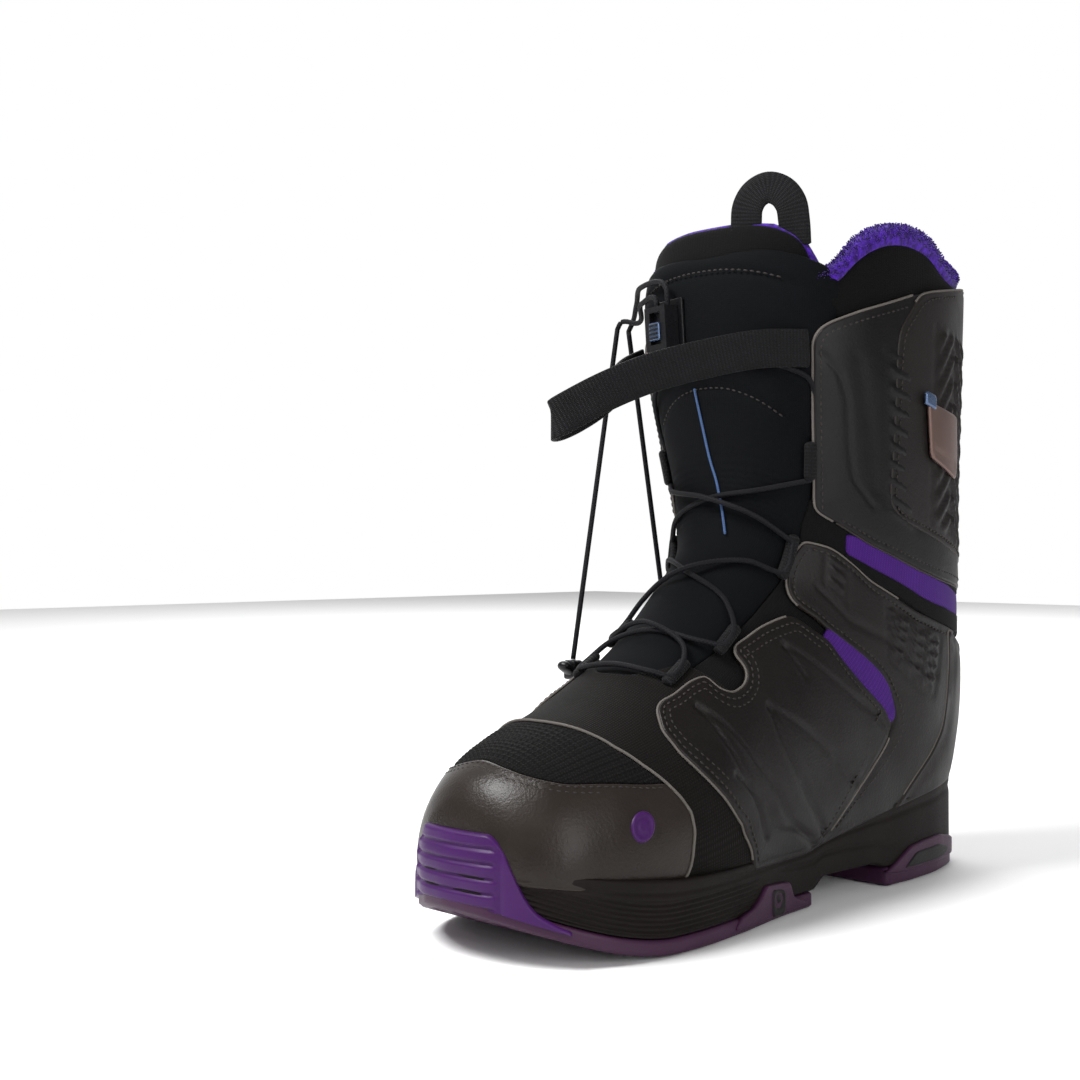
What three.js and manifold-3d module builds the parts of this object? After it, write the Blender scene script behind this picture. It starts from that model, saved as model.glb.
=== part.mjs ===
// Snowboard boot for the left foot: a lasted lower boot, a hinging cuff, a removable liner,
// a zoned lace with a lock and a pull handle. Millimetres, +Z up, +X towards the toe,
// +Y to the wearer's left. The origin lies on the ground under the middle of the heel lug.
import * as THREE from 'three';
import { mergeVertices } from 'three/addons/utils/BufferGeometryUtils.js';
import Module from 'manifold-3d';

const wasm = await Module();
wasm.setup();

// ---------------------------------------------------------------- driving dimensions
const GAP = 0.3;                 // clearance between touching pieces
const PANEL = 2.0;               // leather panel thickness
const SHELL_TOP = -PANEL - GAP;  // outer face of the lining layer, measured from the skin
const SHELL = 2.0;               // lining layer thickness
const TONGUE = 2.0;              // tongue thickness
const LINER_TOP = SHELL_TOP - SHELL - 1.6;
const LINER = 6.0;               // liner foam thickness
const LINER_IN = LINER_TOP - LINER;
const LUG = 8.0;                 // heel lug height
const TREAD = 6.0;               // forefoot rubber thickness
const ARCH = 11.0;               // clearance under the waist of the sole
const TOE_SPRING = 18.0;         // rise of the sole at the toe
const SPRING_START = 185;        // where the toe spring begins
const TOE_TIP = 249;
const HEEL_END = -57;
const BOARD = 2.2;               // lasting board thickness
const FOOTBED = 4.0;
const THROAT = 46;               // half angle of the tongue opening, degrees
const THROAT_U = 0.315;          // where the tongue opening begins
const LACE_R = 1.4;
const LACE_OFF = 0.9;            // height of the lace centre over the skin
const CORD_R = 1.2;              // handle cord radius
const ANKLE = { x: 35, z: 110 }; // cuff hinge axis, seen from the side
const WEBBING = { width: 16, thick: 1.6 };
const WIDE = 130;                // half width of every side cutting prism

// ---------------------------------------------------------------- the skin of the boot
// Each station is one section from toe (u = 0) to collar (u = 1.14): the front or top line,
// the bottom or back line, half widths, where it is widest, and the roundness of both halves.
const STATIONS = [
  { u: 0.00, top: [245, 36], back: [245, 22], half: [0.5, 0.5], mid: 0.50, round: [2.0, 2.0] },
  { u: 0.02, top: [243, 50], back: [244, 16], half: [17, 15], mid: 0.60, round: [2.0, 3.0] },
  { u: 0.05, top: [239, 60], back: [241, 12], half: [28, 24], mid: 0.62, round: [2.0, 3.5] },
  { u: 0.10, top: [227, 71], back: [232, 10], half: [40, 34], mid: 0.64, round: [2.1, 4.0] },
  { u: 0.17, top: [207, 80], back: [214, 8], half: [48, 43], mid: 0.66, round: [2.2, 4.0] },
  { u: 0.25, top: [182, 88], back: [188, 8], half: [52, 49], mid: 0.68, round: [2.2, 4.0] },
  { u: 0.34, top: [155, 102], back: [148, 8], half: [53, 50], mid: 0.66, round: [2.2, 4.0] },
  { u: 0.43, top: [130, 120], back: [100, 8], half: [49, 48], mid: 0.62, round: [2.2, 4.0] },
  { u: 0.51, top: [111, 139], back: [34, 8], half: [47, 46], mid: 0.56, round: [2.2, 4.0] },
  { u: 0.58, top: [101, 154], back: [-32, 10], half: [47, 46], mid: 0.52, round: [2.2, 3.0] },
  { u: 0.65, top: [97, 168], back: [-57, 50], half: [50, 49], mid: 0.50, round: [2.3, 2.4] },
  { u: 0.73, top: [96, 184], back: [-56, 105], half: [54, 54], mid: 0.50, round: [2.3, 2.3] },
  { u: 0.81, top: [98, 207], back: [-50, 150], half: [57, 60], mid: 0.50, round: [2.3, 2.2] },
  { u: 0.90, top: [102, 237], back: [-48, 200], half: [60, 66], mid: 0.50, round: [2.3, 2.2] },
  { u: 1.00, top: [103, 273], back: [-49, 258], half: [62, 70], mid: 0.50, round: [2.3, 2.2] },
  { u: 1.14, top: [101, 308], back: [-52, 306], half: [65, 74], mid: 0.50, round: [2.3, 2.2] },
];
const COLLAR_U = 1.14;
const U_STEP = COLLAR_U / 28;
const A_STEP = 20;

const rows = STATIONS.map((s) => [...s.top, ...s.back, ...s.half, s.mid, ...s.round]);
const knots = STATIONS.map((s) => s.u);

// Slopes of a smooth curve through rows placed at uneven knots.
function slopes(at, values) {
  const last = at.length - 1;
  return values.map((row, i) => row.map((v, k) => {
    const before = i > 0 ? (v - values[i - 1][k]) / (at[i] - at[i - 1]) : null;
    const after = i < last ? (values[i + 1][k] - v) / (at[i + 1] - at[i]) : null;
    if (before === null) return after;
    if (after === null) return before;
    const span = at[i + 1] - at[i - 1];
    return (after * (at[i] - at[i - 1]) + before * (at[i + 1] - at[i])) / span;
  }));
}

// Value of that curve at t, as a cubic between the two nearest knots.
function smooth(at, values, rates, t) {
  const c = Math.min(Math.max(t, at[0]), at[at.length - 1]);
  let i = 0;
  while (i < at.length - 2 && c > at[i + 1]) i += 1;
  const h = at[i + 1] - at[i];
  const s = (c - at[i]) / h;
  const [s2, s3] = [s * s, s * s * s];
  return values[i].map((v, k) => (2 * s3 - 3 * s2 + 1) * v
    + (s3 - 2 * s2 + s) * h * rates[i][k]
    + (3 * s2 - 2 * s3) * values[i + 1][k]
    + (s3 - s2) * h * rates[i + 1][k]);
}

const skinRates = slopes(knots, rows);
const section = (u) => smooth(knots, rows, skinRates, u);

// Unit normals of the top line and the back line at u, both pointing out of the boot.
function profileNormals(u) {
  const d = 0.004;
  const p = section(Math.max(u - d, 0));
  const q = section(Math.min(u + d, COLLAR_U));
  const topRun = new THREE.Vector2(q[0] - p[0], q[1] - p[1]).normalize();
  const backRun = new THREE.Vector2(q[2] - p[2], q[3] - p[3]).normalize();
  return { top: [topRun.y, -topRun.x], back: [-backRun.y, backRun.x] };
}

// A point of the skin: u from toe to collar, a in degrees round the section from the front
// or top line (positive to the wearer's left), off outwards from the skin.
function roundSkin(u, turn, off) {
  const a = turn > 180 ? turn - 360 : turn;
  const [tx, tz, bx, bz, lat, med, mid, roundTop, roundBack] = section(u);
  const n = profileNormals(u);
  const angle = THREE.MathUtils.degToRad(a);
  const half = Math.max((a >= 0 ? lat : med) + off, 0.5);
  const front = Math.cos(angle) >= 0;
  const power = 2 / (front ? roundTop : roundBack);
  const across = Math.abs(Math.sin(angle)) ** power;
  const along = Math.abs(Math.cos(angle)) ** power;
  const f = front ? mid * (1 - along) : mid + (1 - mid) * along;
  const top = [tx + n.top[0] * off, tz + n.top[1] * off];
  const back = [bx + n.back[0] * off, bz + n.back[1] * off];
  const x = top[0] + (back[0] - top[0]) * f;
  const z = top[1] + (back[1] - top[1]) * f;
  const inward = 2 * THREE.MathUtils.clamp((x - 110) / 140, 0, 1) ** 2;
  return new THREE.Vector3(x, Math.sign(a) * half * across - inward, z);
}

// The same point on the faceted skin: flat between grid lines, so that layers made on
// different ranges nest in each other without touching.
function skin(u, a, off = 0) {
  const i = Math.min(Math.floor(u / U_STEP + 1e-6), Math.round(COLLAR_U / U_STEP) - 1);
  const j = Math.floor(a / A_STEP + 1e-6);
  const [s, t] = [u / U_STEP - i, a / A_STEP - j];
  const node = (di, dj) => roundSkin((i + di) * U_STEP, (j + dj) * A_STEP, off);
  return node(0, 0).lerp(node(0, 1), t).lerp(node(1, 0).lerp(node(1, 1), t), s);
}

// Grid lines of one direction between two ends, with the ends themselves.
function stops(from, to, step) {
  const inside = [];
  for (let k = Math.ceil(from / step); k * step < to; k += 1) {
    if (k * step > from + step * 0.08 && k * step < to - step * 0.08) inside.push(k * step);
  }
  return [from, ...inside, to];
}

// ---------------------------------------------------------------- solids
function toSolid(geometry) {
  const bare = geometry.clone();
  bare.deleteAttribute('normal');
  bare.deleteAttribute('uv');
  const merged = mergeVertices(bare, 1e-4);
  const mesh = new wasm.Mesh({
    numProp: 3,
    vertProperties: new Float32Array(merged.attributes.position.array),
    triVerts: new Uint32Array(merged.index.array),
  });
  return new wasm.Manifold(mesh);
}

function toGeometry(solid) {
  const { vertProperties, triVerts } = solid.getMesh();
  const geometry = new THREE.BufferGeometry();
  geometry.setAttribute('position', new THREE.BufferAttribute(vertProperties, 3));
  geometry.setIndex(new THREE.BufferAttribute(triVerts, 1));
  geometry.computeVertexNormals();
  return geometry;
}

// A closed block from a grid of point columns: point(i, j, k), k = 0 inside and 1 outside.
// wrap joins the last column of j to the first.
function blockSolid(ni, nj, point, wrap = false) {
  const position = [];
  const index = [];
  const cols = wrap ? nj : nj + 1;
  const id = (i, j, k) => ((i * cols) + (j % cols)) * 2 + k;
  for (let i = 0; i <= ni; i += 1) {
    for (let j = 0; j < cols; j += 1) {
      position.push(...point(i, j, 0).toArray(), ...point(i, j, 1).toArray());
    }
  }
  const quad = (a, b, c, d) => index.push(a, b, c, a, c, d);
  for (let i = 0; i < ni; i += 1) {
    for (let j = 0; j < nj; j += 1) {
      quad(id(i, j, 1), id(i + 1, j, 1), id(i + 1, j + 1, 1), id(i, j + 1, 1));
      quad(id(i, j, 0), id(i, j + 1, 0), id(i + 1, j + 1, 0), id(i + 1, j, 0));
    }
  }
  for (let j = 0; j < nj; j += 1) {
    quad(id(0, j, 0), id(0, j, 1), id(0, j + 1, 1), id(0, j + 1, 0));
    quad(id(ni, j, 1), id(ni, j, 0), id(ni, j + 1, 0), id(ni, j + 1, 1));
  }
  if (!wrap) {
    for (let i = 0; i < ni; i += 1) {
      quad(id(i, 0, 0), id(i + 1, 0, 0), id(i + 1, 0, 1), id(i, 0, 1));
      quad(id(i, nj, 1), id(i + 1, nj, 1), id(i + 1, nj, 0), id(i, nj, 0));
    }
  }
  const geometry = new THREE.BufferGeometry();
  geometry.setAttribute('position', new THREE.Float32BufferAttribute(position, 3));
  geometry.setIndex(index);
  const solid = toSolid(geometry);
  return solid.volume() < 0 ? flipped(geometry) : solid;
}

function flipped(geometry) {
  const turned = geometry.clone();
  turned.setIndex([...geometry.index.array].reverse());
  return toSolid(turned);
}

// A layer of the boot between two offsets, from u0 to u1 and from a0 to a1 degrees.
function layer(inner, outer, u0, u1, a0 = -180, a1 = 180) {
  const ring = a1 - a0 >= 360;
  const us = stops(u0, u1, U_STEP);
  const as = stops(a0, a1, A_STEP);
  const point = (i, j, k) => skin(us[i], as[j], k ? outer : inner);
  return blockSolid(us.length - 1, as.length - 1, point, ring);
}

// The full body inside one offset of the skin, from u0 to u1, closed by a fan at both ends.
function plug(off, u0, u1, step = U_STEP) {
  const us = stops(u0, u1, step);
  const count = 360 / A_STEP;
  const position = [];
  const index = [];
  us.forEach((u) => {
    for (let j = 0; j < count; j += 1) {
      position.push(...skin(u, -180 + j * A_STEP, off).toArray());
    }
  });
  const centre = (u) => skin(u, 0, off).add(skin(u, 180, off)).multiplyScalar(0.5);
  const last = us.length - 1;
  position.push(...centre(us[0]).toArray(), ...centre(us[last]).toArray());
  const hub = (last + 1) * count;
  for (let j = 0; j < count; j += 1) {
    const next = (j + 1) % count;
    for (let i = 0; i < last; i += 1) {
      const [p, q, r, t] = [i * count + j, (i + 1) * count + j, (i + 1) * count + next,
        i * count + next];
      index.push(p, q, r, p, r, t);
    }
    index.push(hub, j, next, hub + 1, last * count + next, last * count + j);
  }
  const geometry = new THREE.BufferGeometry();
  geometry.setAttribute('position', new THREE.Float32BufferAttribute(position, 3));
  geometry.setIndex(index);
  const solid = toSolid(geometry);
  return solid.volume() < 0 ? flipped(geometry) : solid;
}

// Everything inside an outline drawn in the side view, between two widths.
function sidePrism(outline, y0 = -WIDE, y1 = WIDE) {
  const shape = new THREE.Shape(outline.map(([x, z]) => new THREE.Vector2(x, z)));
  const geometry = new THREE.ExtrudeGeometry(shape, { depth: y1 - y0, bevelEnabled: false });
  geometry.rotateX(Math.PI / 2);
  geometry.translate(0, y1, 0);
  return toSolid(geometry);
}

const LEFT = [0.15, WIDE];
const RIGHT = [-WIDE, -0.15];
const sideRange = (side) => (side > 0 ? LEFT : RIGHT);

function boxSolid(sx, sy, sz, centre) {
  const geometry = new THREE.BoxGeometry(sx, sy, sz);
  geometry.translate(...centre);
  return toSolid(geometry);
}

// ---------------------------------------------------------------- the sole
// Plan outline of the sole as half widths to the left and to the right.
const SOLE_X = [-57, -56, -52, -40, -18, 5, 40, 75, 110, 145, 175, 200, 220, 235, 244, 248, 249];
const SOLE_HALF = [
  [0.5, 0.5], [12, 12], [22, 22], [34, 34], [43, 42], [46, 44], [46, 42], [45, 39], [48, 42],
  [54, 49], [57, 52], [55, 49], [48, 42], [36, 31], [22, 18], [10, 8], [0.5, 0.5],
];
const soleRates = slopes(SOLE_X, SOLE_HALF);
const soleHalf = (x) => smooth(SOLE_X, SOLE_HALF, soleRates, x);
const toeSpring = (x) => TOE_SPRING * THREE.MathUtils.clamp(
  (x - SPRING_START) / (TOE_TIP - SPRING_START), 0, 1,
) ** 1.8;

// Feather line, where the upper meets the midsole, as [x, z] from heel to toe.
const FEATHER = [
  [-75, 47], [-57, 47], [-24, 43], [13, 39], [33, 36], [66, 31], [93, 26.5], [150, 26],
  [182, 27], [210, 30], [232, 33], [262, 37],
];
function featherZ(x) {
  const i = Math.min(FEATHER.findIndex(([fx]) => fx >= x), FEATHER.length - 1);
  const [x0, z0] = FEATHER[Math.max(i, 1) - 1];
  const [x1, z1] = FEATHER[Math.max(i, 1)];
  return z0 + ((z1 - z0) * (x - x0)) / (x1 - x0);
}
const aboveFeather = (lift) => sidePrism([
  ...FEATHER.map(([x, z]) => [x, z + lift]), [262, 340], [-75, 340],
]);

// A plate that follows the plan outline between two heights given along the length.
function solePlate(x0, x1, low, high, inset = 0) {
  const inside = [...SOLE_X, ...FEATHER.map(([x]) => x)].sort((p, q) => p - q)
    .filter((x, i, all) => x > x0 + 0.5 && x < x1 - 0.5 && x - (all[i - 1] ?? -999) > 0.5);
  const xs = [x0, ...inside, x1];
  const point = (i, j, k) => {
    const x = xs[i];
    const [left, right] = soleHalf(x);
    const half = Math.max((j ? left : right) - inset, 0.4);
    const lean = 2 * THREE.MathUtils.clamp((x - 110) / 140, 0, 1) ** 2;
    return new THREE.Vector3(x, (j ? half : -half) - lean, k ? high(x) : low(x));
  };
  return blockSolid(xs.length - 1, 1, point);
}

const HEEL_FRONT = 32;
const FOREFOOT_BACK = 86;
const WING = [[246.5, 46.5], [240, 36], [232, 25], [221, 12], [221, -5], [262, -5], [262, 46.5]];

function midsoleFloor(x) {
  if (x <= HEEL_FRONT) return LUG + GAP;
  if (x < HEEL_FRONT + 10) return THREE.MathUtils.lerp(LUG + GAP, ARCH, (x - HEEL_FRONT) / 10);
  if (x < FOREFOOT_BACK - 10) return ARCH;
  if (x < FOREFOOT_BACK) {
    return THREE.MathUtils.lerp(ARCH, TREAD + GAP, (x - FOREFOOT_BACK + 10) / 10);
  }
  return TREAD + GAP + toeSpring(x);
}

const outsoleHeel = () => solePlate(HEEL_END, HEEL_FRONT, () => 0, () => LUG);
const outsoleForefoot = () => solePlate(FOREFOOT_BACK, TOE_TIP, toeSpring,
  (x) => toeSpring(x) + TREAD);

function midsole() {
  return solePlate(HEEL_END + 0.5, TOE_TIP - 1, midsoleFloor, featherZ, 0.5)
    .subtract(sidePrism(WING));
}

function toeBumper() {
  const nose = solePlate(216, TOE_TIP + 1, (x) => toeSpring(x) + TREAD + GAP, () => 46, -2.5);
  const wing = WING.map(([x, z]) => [x + GAP * 1.5, z]);
  return nose.intersect(sidePrism(wing)).subtract(plug(GAP, 0, 0.25));
}

function lastingBoard() {
  return solePlate(HEEL_END + 8, TOE_TIP - 14, (x) => featherZ(x) + GAP,
    (x) => featherZ(x) + GAP + BOARD, 3).intersect(plug(LINER_TOP, 0, 0.76));
}

// ---------------------------------------------------------------- side view outlines
const TOE_PIPING = [
  [200, 82], [197, 79], [194, 74], [188, 68], [182, 62], [176, 56], [173, 50], [172, 43],
  [173, 37], [176, 32], [183, 27],
];
const QUARTER_FRONT = [[164, 89], [168, 86], [172, 79], [170, 71], [164, 64], [153, 53],
  [144, 42], [137, 32], [134, 26]];
const QUARTER_TOP = [[75, 112], [80, 115], [89, 121], [98, 119], [107, 116], [115, 112],
  [122, 109], [124, 106], [122, 103], [121, 99], [125, 94], [133, 91], [139, 93], [141, 98],
  [148, 96], [158, 91]];
const STRIP_INNER = [[39, 81], [54, 92], [66, 103], [72, 111]];
const STRIP_OUTER = [[71, 115], [60, 108], [47, 100], [35, 91], [28, 80], [29, 74]];
const QUARTER_REAR = [[88, 24], [78, 30], [58, 45], [51, 50], [34, 64]];
const STRAP_FRONT = [[79, 152], [81, 149], [84, 143], [87, 134], [87, 128], [82, 123]];
const STRAP_TOP = [[-62, 102], [-4, 115], [20, 122], [49, 135], [55, 140], [68, 149]];
const COUNTER_EDGE = [[-10, 113], [-14, 99], [-15, 81], [-13, 67], [-3, 56], [11, 46], [31, 33]];
const CUFF_FRONT = [[76, 165], [78, 184], [82, 216], [84, 236], [82, 241]];
const CUFF_TOP = [[78, 244], [66, 249], [27, 261], [-20, 268], [-70, 271]];
const CUFF_BOTTOM = [[-70, 124], [0, 135], [23, 141], [51, 151], [62, 157]];
const BACKSTAY_EDGE = [[30, 275], [46, 243], [47, 230], [44, 168], [35, 161], [18, 156],
  [-4, 149], [-70, 132]];

const shift = (line, dx, dz) => line.map(([x, z]) => [x + dx, z + dz]);
const reversed = (line) => [...line].reverse();

// The wedge in front of and behind the ankle that folds when the cuff leans forward. Its
// upper face is steep in front, so that what leans with the cuff stays clear of the straps.
const belowAnkle = (lift = 0) => sidePrism([
  [ANKLE.x, ANKLE.z - 2 + lift], [160, ANKLE.z + 41 + lift], [300, 60], [300, -10], [-90, -10],
  [-90, ANKLE.z - 12 + lift],
]);
const aboveAnkle = (lift = 0) => sidePrism([
  [ANKLE.x, ANKLE.z + 2 + lift], [112, ANKLE.z + 112 + lift], [150, 330], [-90, 330],
  [-90, ANKLE.z + 26 + lift],
]);

// ---------------------------------------------------------------- lower upper
const overFeather = aboveFeather(GAP);

function toeCap() {
  const outline = [[256, -5], [256, 66], [229, 68 - GAP], [205, 64 - GAP],
    ...shift(TOE_PIPING.slice(4), GAP, 0), [183 + GAP, -5]];
  return layer(-PANEL, 0, 0, 0.34).intersect(sidePrism(outline)).intersect(overFeather);
}

function toeMesh() {
  const outline = [[229, 68], [245, 71], [215, 100], [201, 100],
    ...shift(TOE_PIPING.slice(0, 5), GAP, 0), [205, 64]];
  return layer(-PANEL, 0, 0.03, 0.34, -90, 90).intersect(sidePrism(outline));
}

function toePuff() {
  return layer(SHELL_TOP - SHELL, SHELL_TOP, 0, 0.34)
    .intersect(sidePrism([[256, -5], [256, 110], [205, 110], [205, 64], [188, 58], [188, -5]]))
    .intersect(overFeather);
}

function vamp() {
  const outline = [[199, 110], ...shift(TOE_PIPING, -GAP, 0), [182, -5], [130, -5],
    ...shift(reversed(QUARTER_FRONT), GAP, 0.1), [162, 90.5], [162, 120]];
  return layer(-PANEL, 0, 0.1, 0.48, -120, 120)
    .intersect(sidePrism(outline)).intersect(overFeather);
}

function quarter(side) {
  const outline = [...QUARTER_TOP, ...QUARTER_FRONT, [134, -5], [88, -5], ...QUARTER_REAR,
    [29.5, 73.5], ...STRIP_INNER];
  return layer(-PANEL, 0, 0.2, 0.66, side > 0 ? 15 : -120, side > 0 ? 120 : -15)
    .intersect(sidePrism(outline, ...sideRange(side))).intersect(overFeather);
}

function gusset(side) {
  const outline = [...shift(reversed(STRIP_INNER), -GAP, GAP), [33, 78], [30, 79],
    ...shift(reversed(STRIP_OUTER.slice(0, 4)), GAP, -GAP)];
  return layer(-PANEL, -0.6, 0.4, 0.66, side > 0 ? 30 : -120, side > 0 ? 120 : -30)
    .intersect(sidePrism(outline, ...sideRange(side)));
}

function ankleStrap(side) {
  const outline = [[-10, 113.5], ...STRAP_TOP.slice(1), ...STRAP_FRONT, [75, 119],
    ...shift(STRIP_OUTER, 0, GAP), ...shift(reversed(QUARTER_REAR), -GAP, -GAP),
    [88, -5], [31, -5], ...shift(reversed(COUNTER_EDGE), GAP, 0)];
  return layer(-PANEL, 0, 0.4, 0.72, side > 0 ? 15 : -180, side > 0 ? 180 : -15)
    .intersect(sidePrism(outline, ...sideRange(side))).intersect(overFeather);
}

function heelCounter() {
  const outline = [[-75, 99.5], ...COUNTER_EDGE, [31, -5], [-75, -5]];
  return layer(-PANEL, 0, 0.46, 0.78).intersect(sidePrism(outline)).intersect(overFeather);
}

const throatCut = layer(-9, 3, THROAT_U, COLLAR_U, -THROAT, THROAT);

function shellFoot() {
  const toe = [[256, -5], [256, 110], [204.7, 110], [204.7, 64.3], [187.7, 58.3], [187.7, -5]];
  const cap = [[-90, 94], ...shift(STRAP_TOP.slice(1), 0, -4), [79, 148], [160, 148],
    [260, 120], [260, -10], [-90, -10]];
  return layer(SHELL_TOP - SHELL, SHELL_TOP, 0.1, 0.75)
    .subtract(throatCut)
    .subtract(sidePrism(toe))
    .intersect(sidePrism(cap))
    .intersect(overFeather);
}

function stretchStrip(side) {
  const outline = [[-90, 94 + GAP], ...shift(STRAP_TOP.slice(1), 0, -4 + GAP), [79, 148 + GAP],
    [76, 169 - GAP], ...shift(reversed(CUFF_BOTTOM).slice(0, 4), 0, 4 - GAP), [-90, 125.5]];
  return layer(SHELL_TOP - SHELL, SHELL_TOP, 0.55, 0.86,
    side > 0 ? THROAT + 2 : -180, side > 0 ? 180 : -THROAT - 2)
    .intersect(sidePrism(outline, ...sideRange(side)));
}

function shellShaft() {
  const outline = [[-90, 125.5 + GAP], ...shift(CUFF_BOTTOM.slice(1), 0, 4), [76, 169],
    [120, 169], [120, 244], ...shift(CUFF_TOP, 0, 3)];
  return layer(SHELL_TOP - SHELL, SHELL_TOP, 0.62, 1.08, THROAT + 2, 360 - THROAT - 2)
    .intersect(sidePrism(outline));
}

// ---------------------------------------------------------------- tongue
const tongueLayer = (u0, u1) => layer(SHELL_TOP - TONGUE, SHELL_TOP, u0, u1, -45, 45);
const tongueLower = () => tongueLayer(THROAT_U + 0.006, 0.66).intersect(belowAnkle());
const tongueFlex = () => tongueLayer(0.4, 0.9)
  .subtract(belowAnkle(GAP)).subtract(aboveAnkle(-GAP));
const tongueUpper = () => tongueLayer(0.55, 1.0).intersect(aboveAnkle());

// ---------------------------------------------------------------- cuff
function cuffPanel(side) {
  const outline = [...CUFF_BOTTOM, ...CUFF_FRONT, ...CUFF_TOP];
  return layer(-PANEL, 0, 0.62, 1.08, side > 0 ? 30 : -180, side > 0 ? 180 : -30)
    .intersect(sidePrism(outline, ...sideRange(side)))
    .subtract(sidePrism([...BACKSTAY_EDGE, [-90, 132], [-90, 290], [30, 290]]));
}

function cuffBackstay() {
  const edge = shift(BACKSTAY_EDGE, -GAP, GAP);
  return layer(-PANEL, 0.4, 0.62, 1.08, 60, 300)
    .intersect(sidePrism([...edge, [-90, 132], [-90, 290], [29, 290]]))
    .intersect(sidePrism([[-90, 120], [90, 120], [90, 240], ...CUFF_TOP, [-90, 271]]));
}

function cuffTab() {
  return layer(0.8, 2.8, 0.83, 0.9, 92, 112);
}

// ---------------------------------------------------------------- liner and footbed
const LINER_FLOOR = GAP * 2 + BOARD;
const linerBody = plug(LINER_TOP, 0, COLLAR_U, U_STEP * 2);
const linerHollow = plug(LINER_IN, 0.02, COLLAR_U, U_STEP * 2)
  .intersect(aboveFeather(LINER_FLOOR + 5));
const linerShell = linerBody.subtract(linerHollow)
  .intersect(aboveFeather(LINER_FLOOR));
const COLLAR_LINE = [[90, 256], [75, 261], [67, 271], [58, 277], [48, 280], [35, 279],
  [24, 276], [12, 270], [-10, 268], [-70, 272]];
const FLEECE_BAND = 8;

const linerFoot = () => linerShell.intersect(belowAnkle(-1));
const linerAnkle = () => linerShell.subtract(belowAnkle(-1 + GAP)).subtract(aboveAnkle(1 - GAP));

function linerShaft() {
  const outline = [[-90, 60], [160, 60], [160, 256], ...COLLAR_LINE];
  return linerShell.intersect(aboveAnkle(1)).intersect(sidePrism(outline))
    .subtract(layer(LINER_IN - 2, LINER_TOP + 2, 0.5, COLLAR_U, -46, 46));
}

function linerTongue() {
  return layer(LINER_IN, LINER_TOP, 0.62, 1.03, -45, 45).intersect(aboveAnkle(1));
}

function linerCollar() {
  const outline = [...shift(COLLAR_LINE, 0, GAP),
    ...shift(reversed(COLLAR_LINE), 0, FLEECE_BAND)];
  return layer(LINER_IN, LINER_TOP + 1, 0.9, COLLAR_U, 46, 314)
    .intersect(sidePrism(outline));
}

function footbed() {
  const floor = LINER_FLOOR + GAP + 5;
  return plug(LINER_IN - 1, 0.03, 0.75, U_STEP * 2)
    .subtract(aboveFeather(floor + FOOTBED)).intersect(aboveFeather(floor));
}

// ---------------------------------------------------------------- cords, loops and webbing
// A tube with a round or a flat section along a smooth curve through points.
function tube(points, radius, steps, sides = 8, flat = null) {
  const curve = new THREE.CatmullRomCurve3(points, false, 'centripetal');
  const ring = [];
  for (let i = 0; i < sides; i += 1) {
    const t = (i / sides) * Math.PI * 2;
    ring.push(new THREE.Vector2(Math.cos(t) * radius, Math.sin(t) * radius));
  }
  const strap = flat && [[-1, -1], [1, -1], [1, 1], [-1, 1]].map(([p, q]) => (
    new THREE.Vector2((p * flat.x) / 2, (q * flat.y) / 2)));
  const geometry = new THREE.ExtrudeGeometry(new THREE.Shape(strap || ring), {
    steps, bevelEnabled: false, extrudePath: curve,
  });
  return toSolid(geometry);
}

const onLace = (u, a, rise = 0) => skin(u, a, LACE_OFF + rise);

// Lace crossing: four places up the throat, each with a channel on both sides.
const CHANNELS = [
  { name: 'vamp', u: [0.345, 0.368], a: 25 },
  { name: 'quarter', u: [0.43, 0.455], a: 32.5 },
  { name: 'strap', u: [0.58, 0.63], a: 34 },
  { name: 'cuff', u: [0.752, 0.78], a: 36 },
];

// A folded webbing tab that holds the lace along the edge of the throat.
function laceChannel(spot, side) {
  const [u0, u1] = spot.u;
  const outer = new THREE.Vector2(3.6, 2.8);
  const start = onLace(u0, side * spot.a);
  const end = onLace(u1, side * spot.a);
  const run = end.clone().sub(start);
  const oval = (rx, ry) => new THREE.EllipseCurve(0, 0, rx, ry, 0, Math.PI * 2).getPoints(10)
    .slice(0, 10);
  const shape = new THREE.Shape(oval(outer.x, outer.y));
  shape.holes.push(new THREE.Path(oval(LACE_R + 0.9, LACE_R + 0.7).reverse()));
  const geometry = new THREE.ExtrudeGeometry(shape, { depth: run.length(), bevelEnabled: false });
  const normal = skin((u0 + u1) / 2, side * spot.a, 4).sub(skin((u0 + u1) / 2, side * spot.a, 0));
  const z = run.clone().normalize();
  const y = normal.sub(z.clone().multiplyScalar(normal.dot(z))).normalize();
  const x = new THREE.Vector3().crossVectors(y, z);
  geometry.applyMatrix4(new THREE.Matrix4().makeBasis(x, y, z).setPosition(start));
  return toSolid(geometry);
}

const inChannel = (k, side) => {
  const { u, a } = CHANNELS[k];
  return [onLace(u[0] - 0.004, side * a), onLace(u[1] + 0.004, side * a)];
};

function laceLower() {
  const [v0, v1] = inChannel(0, 1);
  const [w0, w1] = inChannel(0, -1);
  const [q0, q1] = inChannel(1, 1);
  const [r0, r1] = inChannel(1, -1);
  const [s0, s1] = inChannel(2, 1);
  const [t0, t1] = inChannel(2, -1);
  return tube([
    s1, s0, onLace(0.555, 24), onLace(0.5, 0, 3), onLace(0.478, -26), r1, r0,
    onLace(0.415, -27), onLace(0.405, 0, 3), onLace(0.39, 22), v1, v0,
    onLace(0.335, 18), onLace(0.331, 0), onLace(0.335, -18), w0, w1,
    onLace(0.385, -22), onLace(0.4, 0), onLace(0.415, 27), q0, q1,
    onLace(0.478, 26), onLace(0.505, 0), onLace(0.555, -24), t0, t1,
  ], LACE_R, 56);
}

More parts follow.
